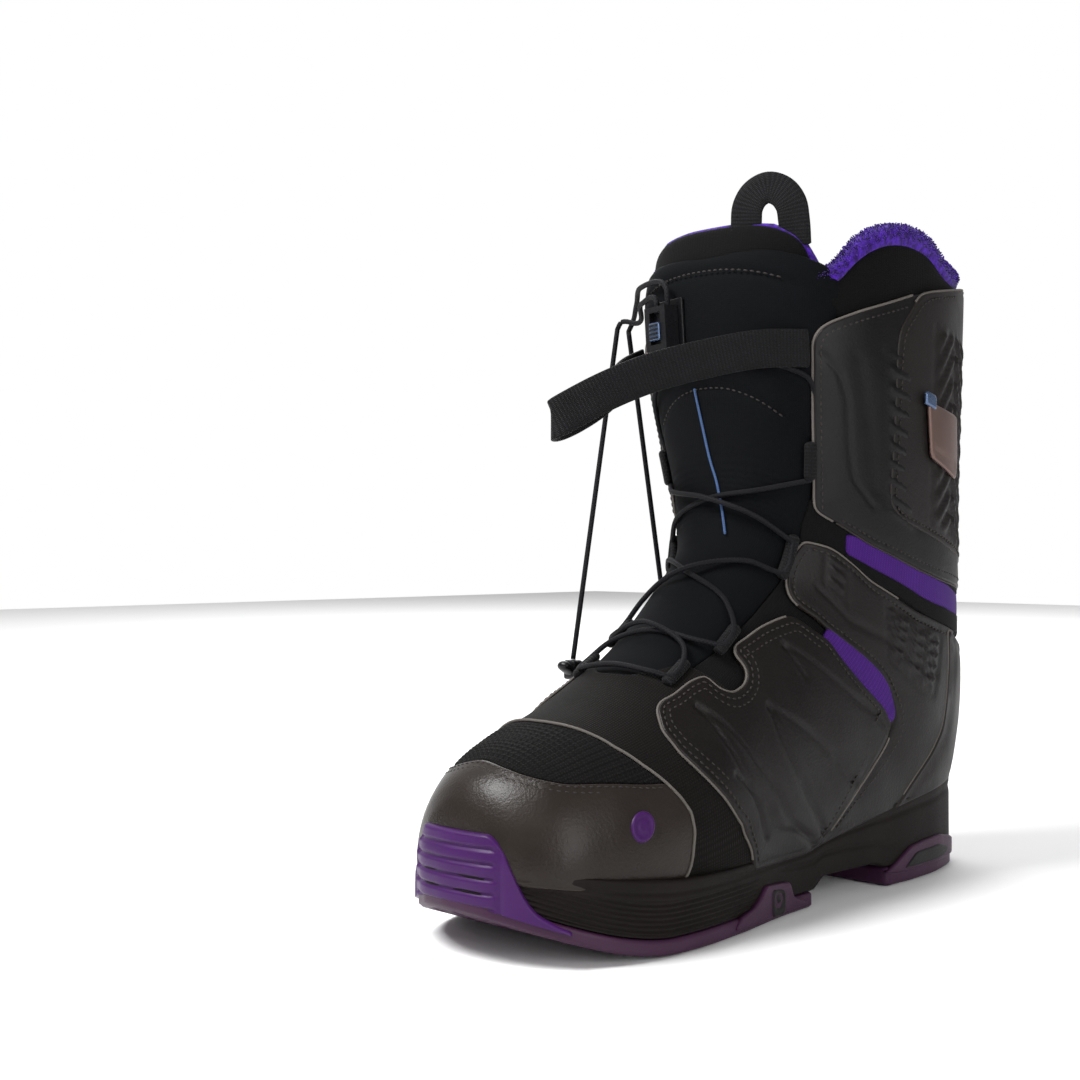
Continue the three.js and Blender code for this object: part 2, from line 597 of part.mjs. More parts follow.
function laceAnkle(side) {
  const [, strapEnd] = inChannel(2, side);
  const [cuffStart] = inChannel(3, -side);
  const rise = side > 0 ? 3 : 0;
  const path = [strapEnd, onLace(0.65, side * 22, rise / 2), onLace(0.685, 0, rise),
    onLace(0.72, -side * 20, rise / 2), cuffStart];
  return trimmedTube(path, LACE_R, 16);
}

// A tube that stops a clearance short of both ends of its route.
function trimmedTube(points, radius, steps, sides = 8) {
  const path = points.map((p) => p.clone());
  const cut = (from, to) => from.add(to.clone().sub(from).setLength(GAP * 5));
  cut(path[0], path[1]);
  cut(path[path.length - 1], path[path.length - 2]);
  return tube(path, radius, steps, sides);
}

const LOCK = { u: 0.925, a: -14, size: new THREE.Vector3(15, 19, 7) };

function laceUpper(side) {
  const [low, high] = inChannel(3, side);
  const entry = onLace(LOCK.u - 0.05, LOCK.a + side * 2.5, 3);
  const route = side > 0
    ? [low, high, onLace(0.82, 33), onLace(0.868, 28), onLace(0.872, 12), onLace(0.872, -4, 2)]
    : [low, high, onLace(0.82, -30), onLace(0.85, -24, 1)];
  return tube([...route, entry], LACE_R, side > 0 ? 30 : 18);
}

function laceKeeper() {
  const path = [onLace(0.79, -2, -1.5), onLace(0.74, 0, -1.3), onLace(0.705, 2, -0.4)];
  return tube(path, 0.7, 6, 6);
}

// Local frame on the tongue at the lace lock: x across, y up the tongue, z outwards.
function lockFrame(rise) {
  const at = skin(LOCK.u, LOCK.a, rise);
  const z = skin(LOCK.u, LOCK.a, 4).sub(skin(LOCK.u, LOCK.a, 0)).normalize();
  const up = skin(LOCK.u + 0.03, LOCK.a).sub(skin(LOCK.u - 0.03, LOCK.a)).normalize();
  const y = up.sub(z.clone().multiplyScalar(up.dot(z))).normalize();
  const x = new THREE.Vector3().crossVectors(y, z);
  return new THREE.Matrix4().makeBasis(x, y, z).setPosition(at);
}

function bevelledBox(size, bevel) {
  const [w, h] = [size.x / 2 - bevel, size.y / 2 - bevel];
  const shape = new THREE.Shape([[-w, -h], [w, -h], [w, h], [-w, h]]
    .map(([x, y]) => new THREE.Vector2(x, y)));
  const geometry = new THREE.ExtrudeGeometry(shape, {
    depth: size.z - bevel * 2, bevelSize: bevel, bevelThickness: bevel, bevelSegments: 2,
  });
  geometry.translate(0, 0, bevel);
  return geometry;
}

const SLIDER = new THREE.Vector3(7, 8, 3.4);
const SLOT_LIFT = 4.6;
const LOCK_SEAT = -1.2;
const LOCK_PLATE = 1.6;

function lockBase() {
  const size = new THREE.Vector3(LOCK.size.x + 5, LOCK.size.y + 6, LOCK_PLATE);
  const geometry = bevelledBox(size, 0.4);
  geometry.applyMatrix4(lockFrame(LOCK_SEAT));
  return toSolid(geometry);
}

function lockBody() {
  const body = toSolid(bevelledBox(LOCK.size, 1.2));
  const slot = boxSolid(SLIDER.x + 2 * GAP, LOCK.size.y - 5, SLIDER.z + 4,
    [0, 0, SLOT_LIFT + SLIDER.z / 2 + 1]);
  return placed(body.subtract(slot), lockFrame(LOCK_SEAT + LOCK_PLATE + GAP));
}

function lockSlider() {
  const geometry = bevelledBox(SLIDER, 0.6);
  geometry.translate(0, -1.5, SLOT_LIFT - 1 + GAP);
  geometry.applyMatrix4(lockFrame(LOCK_SEAT + LOCK_PLATE + GAP));
  return toSolid(geometry);
}

function placed(solid, matrix) {
  const geometry = toGeometry(solid);
  geometry.applyMatrix4(matrix);
  return toSolid(geometry);
}

// The handle hangs outside the right cuff on two cords that lead up over its top edge.
const HANG = { y: -72, z: 252, x: [79, 71] };
const GRIP_END = [{ x: 109, z: 98 }, { x: 41, z: 98 }];
const GRIP_SAG = 26;
const gripMiddle = (GRIP_END[0].x + GRIP_END[1].x) / 2;

// The part of a handle cord between the lock and the cuff edge.
function handleLead(index) {
  const across = index ? 4 : -4;
  const frame = lockFrame(4.5);
  const top = LOCK.size.y / 2;
  const start = new THREE.Vector3(across, top + GAP * 2, 0).applyMatrix4(frame);
  const over = new THREE.Vector3(across, top + 2.5 + index * 4, 0).applyMatrix4(frame);
  const turn = skin(0.965 + index * 0.02, -32, 3.4);
  const shoulder = skin(0.958 + index * 0.02, -52, 3.6);
  const edge = new THREE.Vector3(HANG.x[index], HANG.y + 1.2, HANG.z + 4);
  const last = new THREE.Vector3(HANG.x[index], HANG.y, HANG.z + GAP * 2);
  return tube([start, over, turn, shoulder, edge, last], CORD_R, 14);
}

// The hanging part, straight from the cuff edge to an end of the grip.
function handleCord(index) {
  const from = new THREE.Vector3(HANG.x[index], HANG.y, HANG.z);
  const to = new THREE.Vector3(GRIP_END[index].x, HANG.y, GRIP_END[index].z);
  const route = [0, 0.25, 0.5, 0.75, 1].map((t) => from.clone().lerp(to, t));
  return tube(route, CORD_R, 24);
}

// A bowed bar with an oval section along the line between the grip ends, from the fraction
// trim of its length to the same fraction before its end.
function bowedBar(halfWide, halfTall, trim, lift, steps) {
  const [a, b] = GRIP_END;
  const bow = new THREE.QuadraticBezierCurve3(
    new THREE.Vector3(a.x + 6, HANG.y, a.z - 8 + lift),
    new THREE.Vector3(gripMiddle, HANG.y, a.z - 8 - GRIP_SAG + lift),
    new THREE.Vector3(b.x - 6, HANG.y, b.z - 8 + lift),
  );
  const part = new THREE.CatmullRomCurve3([0, 0.25, 0.5, 0.75, 1]
    .map((t) => bow.getPoint(trim + t * (1 - 2 * trim))));
  const oval = new THREE.EllipseCurve(0, 0, halfTall, halfWide, 0, Math.PI * 2);
  const shape = new THREE.Shape(oval.getPoints(10).slice(0, 10));
  return toSolid(new THREE.ExtrudeGeometry(shape, {
    steps, bevelEnabled: false, extrudePath: part,
  }));
}

// The dark rail that the cords run into, along the upper side of the grip.
function handleRail() {
  const cords = [0, 1].map((i) => boxSolid(4, 4, 9, [GRIP_END[i].x, HANG.y, GRIP_END[i].z]));
  const rail = bowedBar(3.6, 2.4, 0, 5.2, 10);
  const ends = GRIP_END.map((e) => boxSolid(6, 7.2, 9, [e.x, HANG.y, e.z - 4.8]));
  return cords.reduce((solid, cord) => solid.subtract(cord.translate([0, 0, 4.5 - GAP])),
    rail.add(ends[0]).add(ends[1]));
}

function handleGrip() {
  return bowedBar(5.5, 4.6, 0.14, -4.2, 10);
}

function handleRivet() {
  const geometry = new THREE.CylinderGeometry(2.6, 2.6, 1.2, 12);
  geometry.translate(gripMiddle, HANG.y - 5.5 - 0.6 - GAP, GRIP_END[0].z - 8 - GRIP_SAG / 2 - 3.4);
  return toSolid(geometry);
}

// ---------------------------------------------------------------- webbing
// The stowing loop: one flat strap from the left cuff edge, out in front, to the right one.
function webbingLoop() {
  const route = [[88, 41.5, 233], [104, 33, 232], [126, 20, 227], [150, 6, 219], [170, -7, 208],
    [178, -16, 201], [170, -22, 201], [150, -27, 207], [128, -33, 216], [108, -40, 226],
    [90, -45, 232]].map((p) => new THREE.Vector3(...p));
  return tube(route, 0, 26, 4, { x: WEBBING.width, y: WEBBING.thick });
}

const PULL_LOOP = { u: 1.066, a: 24, z: 283, width: 36, tall: 27, thick: 2.4 };

// The pull loop: an arch of webbing with a finger slot, standing on the liner tongue.
function linerPullLoop() {
  const half = PULL_LOOP.width / 2;
  const shape = new THREE.Shape();
  shape.moveTo(-half, 0);
  shape.lineTo(half, 0);
  shape.lineTo(half - 3, 13);
  shape.quadraticCurveTo(half - 6, PULL_LOOP.tall - 6, 2, PULL_LOOP.tall);
  shape.lineTo(-2, PULL_LOOP.tall);
  shape.quadraticCurveTo(-half + 6, PULL_LOOP.tall - 6, -half + 3, 13);
  const slot = new THREE.Path();
  slot.moveTo(-5, 3);
  slot.lineTo(-4, PULL_LOOP.tall - 8);
  slot.lineTo(4, PULL_LOOP.tall - 8);
  slot.lineTo(5, 3);
  shape.holes.push(slot);
  const geometry = new THREE.ExtrudeGeometry(shape, {
    depth: PULL_LOOP.thick, bevelEnabled: false, curveSegments: 5,
  });
  geometry.translate(0, 0, -PULL_LOOP.thick / 2);
  const foot = skin(PULL_LOOP.u, PULL_LOOP.a, LINER_TOP - 3);
  const out = skin(PULL_LOOP.u, PULL_LOOP.a, 0).sub(skin(PULL_LOOP.u, PULL_LOOP.a, -8)).setZ(0);
  const z = out.normalize();
  const y = new THREE.Vector3(0, 0, 1);
  const x = new THREE.Vector3().crossVectors(y, z);
  geometry.applyMatrix4(new THREE.Matrix4().makeBasis(x, y, z).setPosition(foot.setZ(PULL_LOOP.z)));
  return toSolid(geometry);
}

// ---------------------------------------------------------------- assembly
const boot = new THREE.Group();
const LEATHER = { color: 0x3b3736, roughness: 0.55 };
const TEXTILE = { color: 0x23211f, roughness: 0.9 };
const PURPLE = { color: 0x5c3375, roughness: 0.6 };
const FOAM = { color: 0x221817, roughness: 0.8 };
const FLEECE = { color: 0x52319b, roughness: 1.0 };
const LINING = { color: 0x15171d, roughness: 0.9 };
const PLASTIC = { color: 0x1c1c1e, roughness: 0.4 };
const CORD = { color: 0x1d1e22, roughness: 0.7 };

function add(name, solid, finish) {
  const material = new THREE.MeshStandardMaterial({ metalness: 0, ...finish });
  const mesh = new THREE.Mesh(toGeometry(solid), material);
  mesh.name = name;
  boot.add(mesh);
}

const SIDES = [['lateral', 1], ['medial', -1]];

add('outsole_heel', outsoleHeel(), PURPLE);
add('outsole_forefoot', outsoleForefoot(), PURPLE);
add('midsole', midsole(), FOAM);
add('toe_bumper', toeBumper(), PURPLE);
add('lasting_board', lastingBoard(), LINING);
add('toe_cap', toeCap(), LEATHER);
add('toe_mesh', toeMesh(), TEXTILE);
add('toe_puff', toePuff(), PLASTIC);
add('vamp', vamp(), TEXTILE);
add('heel_counter', heelCounter(), LEATHER);
add('shell_foot', shellFoot(), TEXTILE);
SIDES.forEach(([name, side]) => {
  add(`quarter_${name}`, quarter(side), LEATHER);
  add(`gusset_${name}`, gusset(side), PURPLE);
  add(`ankle_strap_${name}`, ankleStrap(side), LEATHER);
  add(`stretch_strip_${name}`, stretchStrip(side), PURPLE);
  add(`cuff_${name}`, cuffPanel(side), LEATHER);
  CHANNELS.forEach((spot) => {
    add(`lace_channel_${spot.name}_${name}`, laceChannel(spot, side), LINING);
  });
  add(`lace_ankle_${name}`, laceAnkle(side), CORD);
  add(`lace_upper_${name}`, laceUpper(side), CORD);
});
add('shell_shaft', shellShaft(), TEXTILE);
add('cuff_backstay', cuffBackstay(), LEATHER);
add('cuff_tab', cuffTab(), PLASTIC);
add('tongue_lower', tongueLower(), LINING);
add('tongue_flex_panel', tongueFlex(), LINING);
add('tongue_upper', tongueUpper(), LINING);
add('liner_foot', linerFoot(), LINING);
add('liner_ankle', linerAnkle(), LINING);
add('liner_shaft', linerShaft(), LINING);
add('liner_tongue', linerTongue(), LINING);
add('liner_collar', linerCollar(), FLEECE);
add('footbed', footbed(), FOAM);
add('lace_lower', laceLower(), CORD);
add('lace_keeper', laceKeeper(), CORD);
add('lock_base', lockBase(), PLASTIC);
add('lock_body', lockBody(), PLASTIC);
add('lock_slider', lockSlider(), PLASTIC);
['front', 'rear'].forEach((name, index) => {
  add(`handle_lead_${name}`, handleLead(index), CORD);
  add(`handle_cord_${name}`, handleCord(index), CORD);
});
add('handle_rail', handleRail(), PLASTIC);
add('handle_grip', handleGrip(), PLASTIC);
add('handle_rivet', handleRivet(), PLASTIC);
add('webbing_loop', webbingLoop(), CORD);
add('liner_pull_loop', linerPullLoop(), CORD);

export default boot;
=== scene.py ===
"""Looks of a left snowboard boot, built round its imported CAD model.

Metres, +Z up, +X towards the toe, +Y to the wearer's left (the outer side). Sizes inside the
classes are millimetres and are turned to metres where a mesh is made.
"""

import logging
import math
from dataclasses import dataclass, field
from enum import Enum
from typing import Callable, Optional, Sequence

import bmesh
import bpy
import numpy as np
from mathutils import Matrix, Vector
from mathutils.geometry import delaunay_2d_cdt


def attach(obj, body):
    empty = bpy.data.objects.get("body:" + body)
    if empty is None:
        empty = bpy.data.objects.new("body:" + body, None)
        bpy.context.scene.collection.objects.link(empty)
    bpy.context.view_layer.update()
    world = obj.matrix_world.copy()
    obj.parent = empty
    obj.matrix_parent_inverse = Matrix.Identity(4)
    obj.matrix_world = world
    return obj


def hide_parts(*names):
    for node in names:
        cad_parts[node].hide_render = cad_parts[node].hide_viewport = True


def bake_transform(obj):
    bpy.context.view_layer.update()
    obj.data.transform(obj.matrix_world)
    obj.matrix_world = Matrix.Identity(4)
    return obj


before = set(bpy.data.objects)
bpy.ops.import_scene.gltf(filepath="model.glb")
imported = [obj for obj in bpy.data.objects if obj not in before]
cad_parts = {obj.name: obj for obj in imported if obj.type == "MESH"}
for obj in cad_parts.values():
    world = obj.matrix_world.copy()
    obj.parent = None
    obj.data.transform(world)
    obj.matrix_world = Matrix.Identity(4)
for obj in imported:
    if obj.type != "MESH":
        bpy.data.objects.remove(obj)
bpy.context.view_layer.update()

MM = 0.001
UP = np.array([0.0, 0.0, 1.0])
log = logging.getLogger("boot")
Points = np.ndarray
Relief = Callable[[Points, Points], Points]


class Body(Enum):
    """The rigid bodies of the boot."""

    FOOT = "foot"
    CUFF = "cuff"
    SLIDER = "lock_slider"
    HANDLE = "handle"
    WEBBING = "webbing_loop"
    PULL = "liner_pull_loop"
    FOLD = "foot and cuff"


class Side(Enum):
    """The two sides of the boot, as the sign of Y."""

    LATERAL = 1
    MEDIAL = -1

    @property
    def tag(self) -> str:
        """The word for this side in piece names."""
        return self.name.lower()


# ------------------------------------------------------------------ curves through points
def curve_through(knots: Points, rows: Points, at: Points) -> Points:
    """Smooth cubic curve through rows placed at uneven knots.

    Args:
        knots: rising parameter of each row.
        rows: (n, k) values.
        at: parameters to read, in any shape.
    Returns:
        Values with a last axis of length k.
    """
    steps = np.diff(knots)[:, None]
    slopes = np.diff(rows, axis=0) / steps
    rates = np.empty_like(rows)
    rates[0], rates[-1] = slopes[0], slopes[-1]
    rates[1:-1] = (slopes[1:] * steps[:-1] + slopes[:-1] * steps[1:]) / (steps[:-1] + steps[1:])
    t = np.clip(np.asarray(at, float), knots[0], knots[-1])
    k = np.clip(np.searchsorted(knots, t, side="right") - 1, 0, len(knots) - 2)
    h = (knots[k + 1] - knots[k])[..., None]
    s = (t - knots[k])[..., None] / h
    s2, s3 = s * s, s * s * s
    return (
        (2 * s3 - 3 * s2 + 1) * rows[k]
        + (s3 - 2 * s2 + s) * h * rates[k]
        + (3 * s2 - 2 * s3) * rows[k + 1]
        + (s3 - s2) * h * rates[k + 1]
    )


def path_length(line: Points) -> Points:
    """Running length along a line of points, starting at 0."""
    return np.concatenate([[0.0], np.cumsum(np.linalg.norm(np.diff(line, axis=0), axis=1))])


def unit(rows: Points) -> Points:
    """Vectors of length 1 along the last axis."""
    return rows / np.maximum(np.linalg.norm(rows, axis=-1, keepdims=True), 1e-9)


def inward_of(ring: Points, reach: int = 1) -> Points:
    """Unit directions into a counter-clockwise ring, from neighbours reach points away."""
    step = np.roll(ring, -reach, 0) - np.roll(ring, reach, 0)
    return unit(np.stack([-step[:, 1], step[:, 0]], -1))


def resampled(line: Points, step: float, closed: bool = False) -> Points:
    """The same line with evenly spaced points.

    Args:
        line: (n, k) points.
        step: wanted spacing.
        closed: the last point joins the first.
    Returns:
        (m, k) points; a closed line does not repeat its first point.
    """
    ring = np.vstack([line, line[:1]]) if closed else np.asarray(line, float)
    run = path_length(ring)
    count = max(int(round(run[-1] / step)), 3)
    at = np.linspace(0, run[-1], count + 1)
    out = np.stack([np.interp(at, run, ring[:, k]) for k in range(ring.shape[1])], -1)
    return out[:-1] if closed else out


def spline(points: Sequence[Sequence[float]], step: float) -> Points:
    """A smooth open line through points, sampled every step."""
    rows = np.asarray(points, float)
    knots = path_length(rows)
    fine = curve_through(knots, rows, np.linspace(0, knots[-1], len(rows) * 24))
    return resampled(fine, step)


def softened(ring: Points, radius: float) -> Points:
    """A closed line sampled every millimetre with its corners rounded by about radius."""
    out = ring.copy()
    for _ in range(int(2 * radius * radius)):
        out = 0.5 * out + 0.25 * (np.roll(out, 1, 0) + np.roll(out, -1, 0))
    return out


def distance_to(points: Points, line: Points, closed: bool = False) -> Points:
    """Shortest distance from each point to a line of segments.

    Args:
        points: (n, k) points.
        line: (m, k) points of the line, in the same space.
        closed: the last point joins the first.
    Returns:
        (n,) distances.
    """
    ends = np.vstack([line, line[:1]]) if closed else line
    best = np.full(len(points), 1e9)
    for a, b in zip(ends[:-1], ends[1:]):
        run = b - a
        t = np.clip(((points - a) @ run) / max(run @ run, 1e-12), 0, 1)
        best = np.minimum(best, np.linalg.norm(points - a - t[:, None] * run, axis=1))
    return best


def inside_of(points: Points, ring: Points) -> Points:
    """Which 2-D points lie inside a closed ring."""
    x, y = points[:, 0], points[:, 1]
    hit = np.zeros(len(points), bool)
    for (ax, ay), (bx, by) in zip(ring, np.roll(ring, -1, 0)):
        if ay == by:
            continue
        crosses = ((ay > y) != (by > y)) & (x < (bx - ax) * (y - ay) / (by - ay) + ax)
        hit ^= crosses
    return hit


def smooth_step(value: Points, low: float, high: float) -> Points:
    """0 below low, 1 above high, and a smooth rise between."""
    t = np.clip((value - low) / (high - low), 0, 1)
    return t * t * (3 - 2 * t)


# ------------------------------------------------------------------ the skin of the boot
# One row for each section from toe to collar: u, front or top line x z, back or bottom line
# x z, left and right half widths, where it is widest, roundness of the front and back halves.
STATIONS = (
    (0.00, 245, 36, 245, 22, 0.5, 0.5, 0.50, 2.0, 2.0),
    (0.02, 243, 50, 244, 16, 17, 15, 0.60, 2.0, 3.0),
    (0.05, 239, 60, 241, 12, 28, 24, 0.62, 2.0, 3.5),
    (0.10, 227, 71, 232, 10, 40, 34, 0.64, 2.1, 4.0),
    (0.17, 207, 80, 214, 8, 48, 43, 0.66, 2.2, 4.0),
    (0.25, 182, 88, 188, 8, 52, 49, 0.68, 2.2, 4.0),
    (0.34, 155, 102, 148, 8, 53, 50, 0.66, 2.2, 4.0),
    (0.43, 130, 120, 100, 8, 49, 48, 0.62, 2.2, 4.0),
    (0.51, 111, 139, 34, 8, 47, 46, 0.56, 2.2, 4.0),
    (0.58, 101, 154, -32, 10, 47, 46, 0.52, 2.2, 3.0),
    (0.65, 97, 168, -57, 50, 50, 49, 0.50, 2.3, 2.4),
    (0.73, 96, 184, -56, 105, 54, 54, 0.50, 2.3, 2.3),
    (0.81, 98, 207, -50, 150, 57, 60, 0.50, 2.3, 2.2),
    (0.90, 102, 237, -48, 200, 60, 66, 0.50, 2.3, 2.2),
    (1.00, 103, 273, -49, 258, 62, 70, 0.50, 2.3, 2.2),
    (1.14, 101, 308, -52, 306, 65, 74, 0.50, 2.3, 2.2),
)
FLAT = np.array([340.0, 0.87])  # millimetres of skin for one unit of u and one degree


class Skin:
    """The outer surface of the boot as a map from (u, a) to space."""

    def __init__(self) -> None:
        """Reads the stations once."""
        table = np.array(STATIONS, float)
        self.knots, self.rows = table[:, 0], table[:, 1:]

    def section(self, u: Points) -> Points:
        """The nine section numbers at u."""
        return curve_through(self.knots, self.rows, u)

    def point(self, u: Points, a: Points) -> Points:
        """Points of the skin in millimetres.

        Args:
            u: 0 at the toe to 1.14 at the collar.
            a: degrees round the section from the front or top line, positive to +Y.
        Returns:
            (..., 3) points.
        """
        u, a = np.broadcast_arrays(np.asarray(u, float), np.asarray(a, float))
        a = np.where(a > 180, a - 360, a)
        tx, tz, bx, bz, left, right, mid, front_round, back_round = np.moveaxis(
            self.section(u), -1, 0
        )
        angle = np.radians(a)
        front = np.cos(angle) >= 0
        power = 2 / np.where(front, front_round, back_round)
        across = np.maximum(np.abs(np.sin(angle)), 1e-9) ** power
        along = np.maximum(np.abs(np.cos(angle)), 1e-9) ** power
        f = np.where(front, mid * (1 - along), mid + (1 - mid) * along)
        x, z = tx + (bx - tx) * f, tz + (bz - tz) * f
        half = np.where(a >= 0, left, right)
        inward = 2 * np.clip((x - 110) / 140, 0, 1) ** 2
        return np.stack([x, np.sign(a) * half * across - inward, z], -1)

    def normal(self, u: Points, a: Points) -> Points:
        """Unit normals that point out of the boot."""
        du, da = 0.004, 1.5
        u, a = np.broadcast_arrays(np.asarray(u, float), np.asarray(a, float))
        low = np.maximum(u - du, 0.001)
        along = self.point(low + 2 * du, a) - self.point(low, a)
        round_ = self.point(u, a + da) - self.point(u, a - da)
        return unit(np.cross(round_, along))

    def at(self, u: Points, a: Points, off: Points = 0.0) -> Points:
        """Points at a height over the skin."""
        return self.point(u, a) + self.normal(u, a) * np.asarray(off)[..., None]

    def lift(self, flat: Points) -> tuple[Points, Points]:
        """Points and normals of developed coordinates (see FLAT)."""
        u, a = (flat / FLAT).T
        return self.point(u, a), self.normal(u, a)

    def from_side(self, outline: Sequence[Sequence[float]], side: Side) -> Points:
        """Developed coordinates of points drawn in the side view.

        Args:
            outline: (x, z) pairs in millimetres.
            side: which side of the boot they lie on.
        Returns:
            (n, 2) developed coordinates.
        """
        us = np.linspace(0.0, 1.14, 571)
        rows = self.section(us)
        top, back = rows[:, 0:2], rows[:, 2:4]
        run = back - top
        found = []
        for x, z in outline:
            rel = np.array([x, z]) - top
            cross = (run[:, 0] * rel[:, 1] - run[:, 1] * rel[:, 0]) / np.hypot(*run.T)
            f = (rel * run).sum(1) / (run * run).sum(1)
            score = np.abs(cross) + 60 * np.maximum(0, np.maximum(-f, f - 1))
            k = int(np.argmin(score))
            near = [i for i in (k - 1, k) if 0 <= i < len(us) - 1 and cross[i] * cross[i + 1] <= 0]
            share = cross[near[0]] / (cross[near[0]] - cross[near[0] + 1] + 1e-12) if near else 0.0
            at = near[0] if near else k
            u = us[at] + share * (us[1] - us[0])
            ff = float(np.clip(f[at] + share * (f[min(at + 1, len(us) - 1)] - f[at]), 0, 1))
            found.append((u, self._turn(u, ff) * side.value))
        return np.array(found) * FLAT

    def _turn(self, u: float, f: float) -> float:
        """Degrees round the section where it is a share f of the way to the back."""
        row = self.section(np.array([u]))[0]
        mid, front_round, back_round = row[6], row[7], row[8]
        if f <= mid:
            return math.degrees(math.acos(min(1, (1 - f / mid)) ** (front_round / 2)))
        return 180 - math.degrees(math.acos(min(1, (f - mid) / (1 - mid)) ** (back_round / 2)))


SKIN = Skin()


def ua(*pairs: tuple[float, float]) -> Points:
    """Developed coordinates of (u, degrees) pairs."""
    return np.array(pairs, float) * FLAT


# ------------------------------------------------------------------ meshes
PIECE = "_piece"  # end of the name of a piece that stands for a CAD node


def piece_name(name: str) -> str:
    """The name of a piece, set apart from that of the CAD node it stands for."""
    return name + PIECE if name in bpy.data.objects else name


def new_piece(name: str, points: Points, faces: Sequence[Sequence[int]]) -> bpy.types.Object:
    """An object at the origin whose mesh has these points, given in millimetres."""
    mesh = bpy.data.meshes.new(name)
    mesh.from_pydata((np.asarray(points) * MM).tolist(), [], [list(map(int, f)) for f in faces])
    mesh.update()
    mesh.polygons.foreach_set("use_smooth", np.ones(len(mesh.polygons), bool))
    piece = bpy.data.objects.new(piece_name(name), mesh)
    bpy.context.scene.collection.objects.link(piece)
    return piece


def set_flat(piece: bpy.types.Object, flat: Points) -> None:
    """Gives a piece the UV map Flat, from one pair of millimetres for each point."""
    mesh = piece.data
    layer = mesh.uv_layers.new(name="Flat")
    corner = np.empty(len(mesh.loops), np.int32)
    mesh.loops.foreach_get("vertex_index", corner)
    layer.data.foreach_set("uv", (np.asarray(flat)[corner] * MM).astype(np.float32).ravel())


def set_number(piece: bpy.types.Object, name: str, values: Points) -> None:
    """Stores one number for each point under a name that a material can read."""
    layer = piece.data.attributes.new(name, "FLOAT", "POINT")
    layer.data.foreach_set("value", np.asarray(values, np.float32))


def outward(piece: bpy.types.Object) -> None:
    """Turns a closed mesh right way out."""
    work = bmesh.new()
    work.from_mesh(piece.data)
    bmesh.ops.remove_doubles(work, verts=work.verts, dist=2e-6)
    bmesh.ops.recalc_face_normals(work, faces=work.faces)
    work.to_mesh(piece.data)
    work.free()


def settle(
    piece: bpy.types.Object, body: Body, slot: str, material: bpy.types.Material, *nodes: str
) -> bpy.types.Object:
    """Dresses a finished piece and puts it on its body.

    Args:
        piece: the finished piece.
        body: the body it moves with; a FOLD piece is baked in place and put on no body.
        slot: the record's material slot; not used.
        material: its Blender material.
        nodes: the CAD nodes it stands for; left out, the one of its own name, if any.
    Returns:
        The piece.
    """
    if not nodes and piece.name.endswith(PIECE):
        nodes = (piece.name.removesuffix(PIECE),)
    piece.data.materials.clear()
    piece.data.materials.append(material)
    if body is Body.FOLD:
        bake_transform(piece)
    else:
        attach(piece, body.value)
    if nodes:
        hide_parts(*nodes)
    log.info("%s on %s: %d faces", piece.name, body.value, len(piece.data.polygons))
    return piece


def triangulate(ring: Points, pitch: float) -> tuple[Points, Points]:
    """Fills a closed 2-D ring with even triangles and three close rows along its edge.

    Args:
        ring: closed line, counter-clockwise, about pitch apart.
        pitch: size of the triangles inside.
    Returns:
        Points and triangles; the ring's own points come first, in order.
    """
    inward = inward_of(ring)
    rows = [ring]
    for depth in (0.4, 0.9, 1.6):
        row = ring + inward * depth
        keep = (distance_to(row, ring, True) > depth * 0.93) & inside_of(row, ring)
        rows.append(row[keep])
    low, high = ring.min(0), ring.max(0)
    xs = np.arange(low[0], high[0], pitch)
    ys = np.arange(low[1], high[1], pitch * 0.866)
    grid = np.stack(np.meshgrid(xs, ys, indexing="ij"), -1)
    grid[:, ::2, 0] += pitch / 2
    grid = grid.reshape(-1, 2)
    grid = grid[inside_of(grid, ring)]
    rows.append(grid[distance_to(grid, ring, True) > 1.6 + pitch * 0.5])
    points = np.vstack(rows)
    result = delaunay_2d_cdt([Vector(p) for p in points], [], [list(range(len(ring)))], 1, 1e-4)
    return np.array([tuple(v) for v in result[0]]), np.array(result[2])


def closed_shell(outer: Points, inner: Points, faces: Points) -> tuple[Points, list]:
    """Joins two copies of a triangulated patch by walls along its edge.

    Args:
        outer: points of the upper copy.
        inner: points of the lower copy, in the same order.
        faces: triangles of the patch.
    Returns:
        Points and faces of the closed shell.
    """
    n = len(outer)
    edges = {}
    for f in faces:
        for a, b in zip(f, np.roll(f, -1)):
            edges[(int(a), int(b))] = True
    walls = [(b, a, a + n, b + n) for a, b in edges if (b, a) not in edges]
    under = [tuple(int(i) + n for i in f[::-1]) for f in faces]
    return np.vstack([outer, inner]), [tuple(f) for f in faces] + under + walls


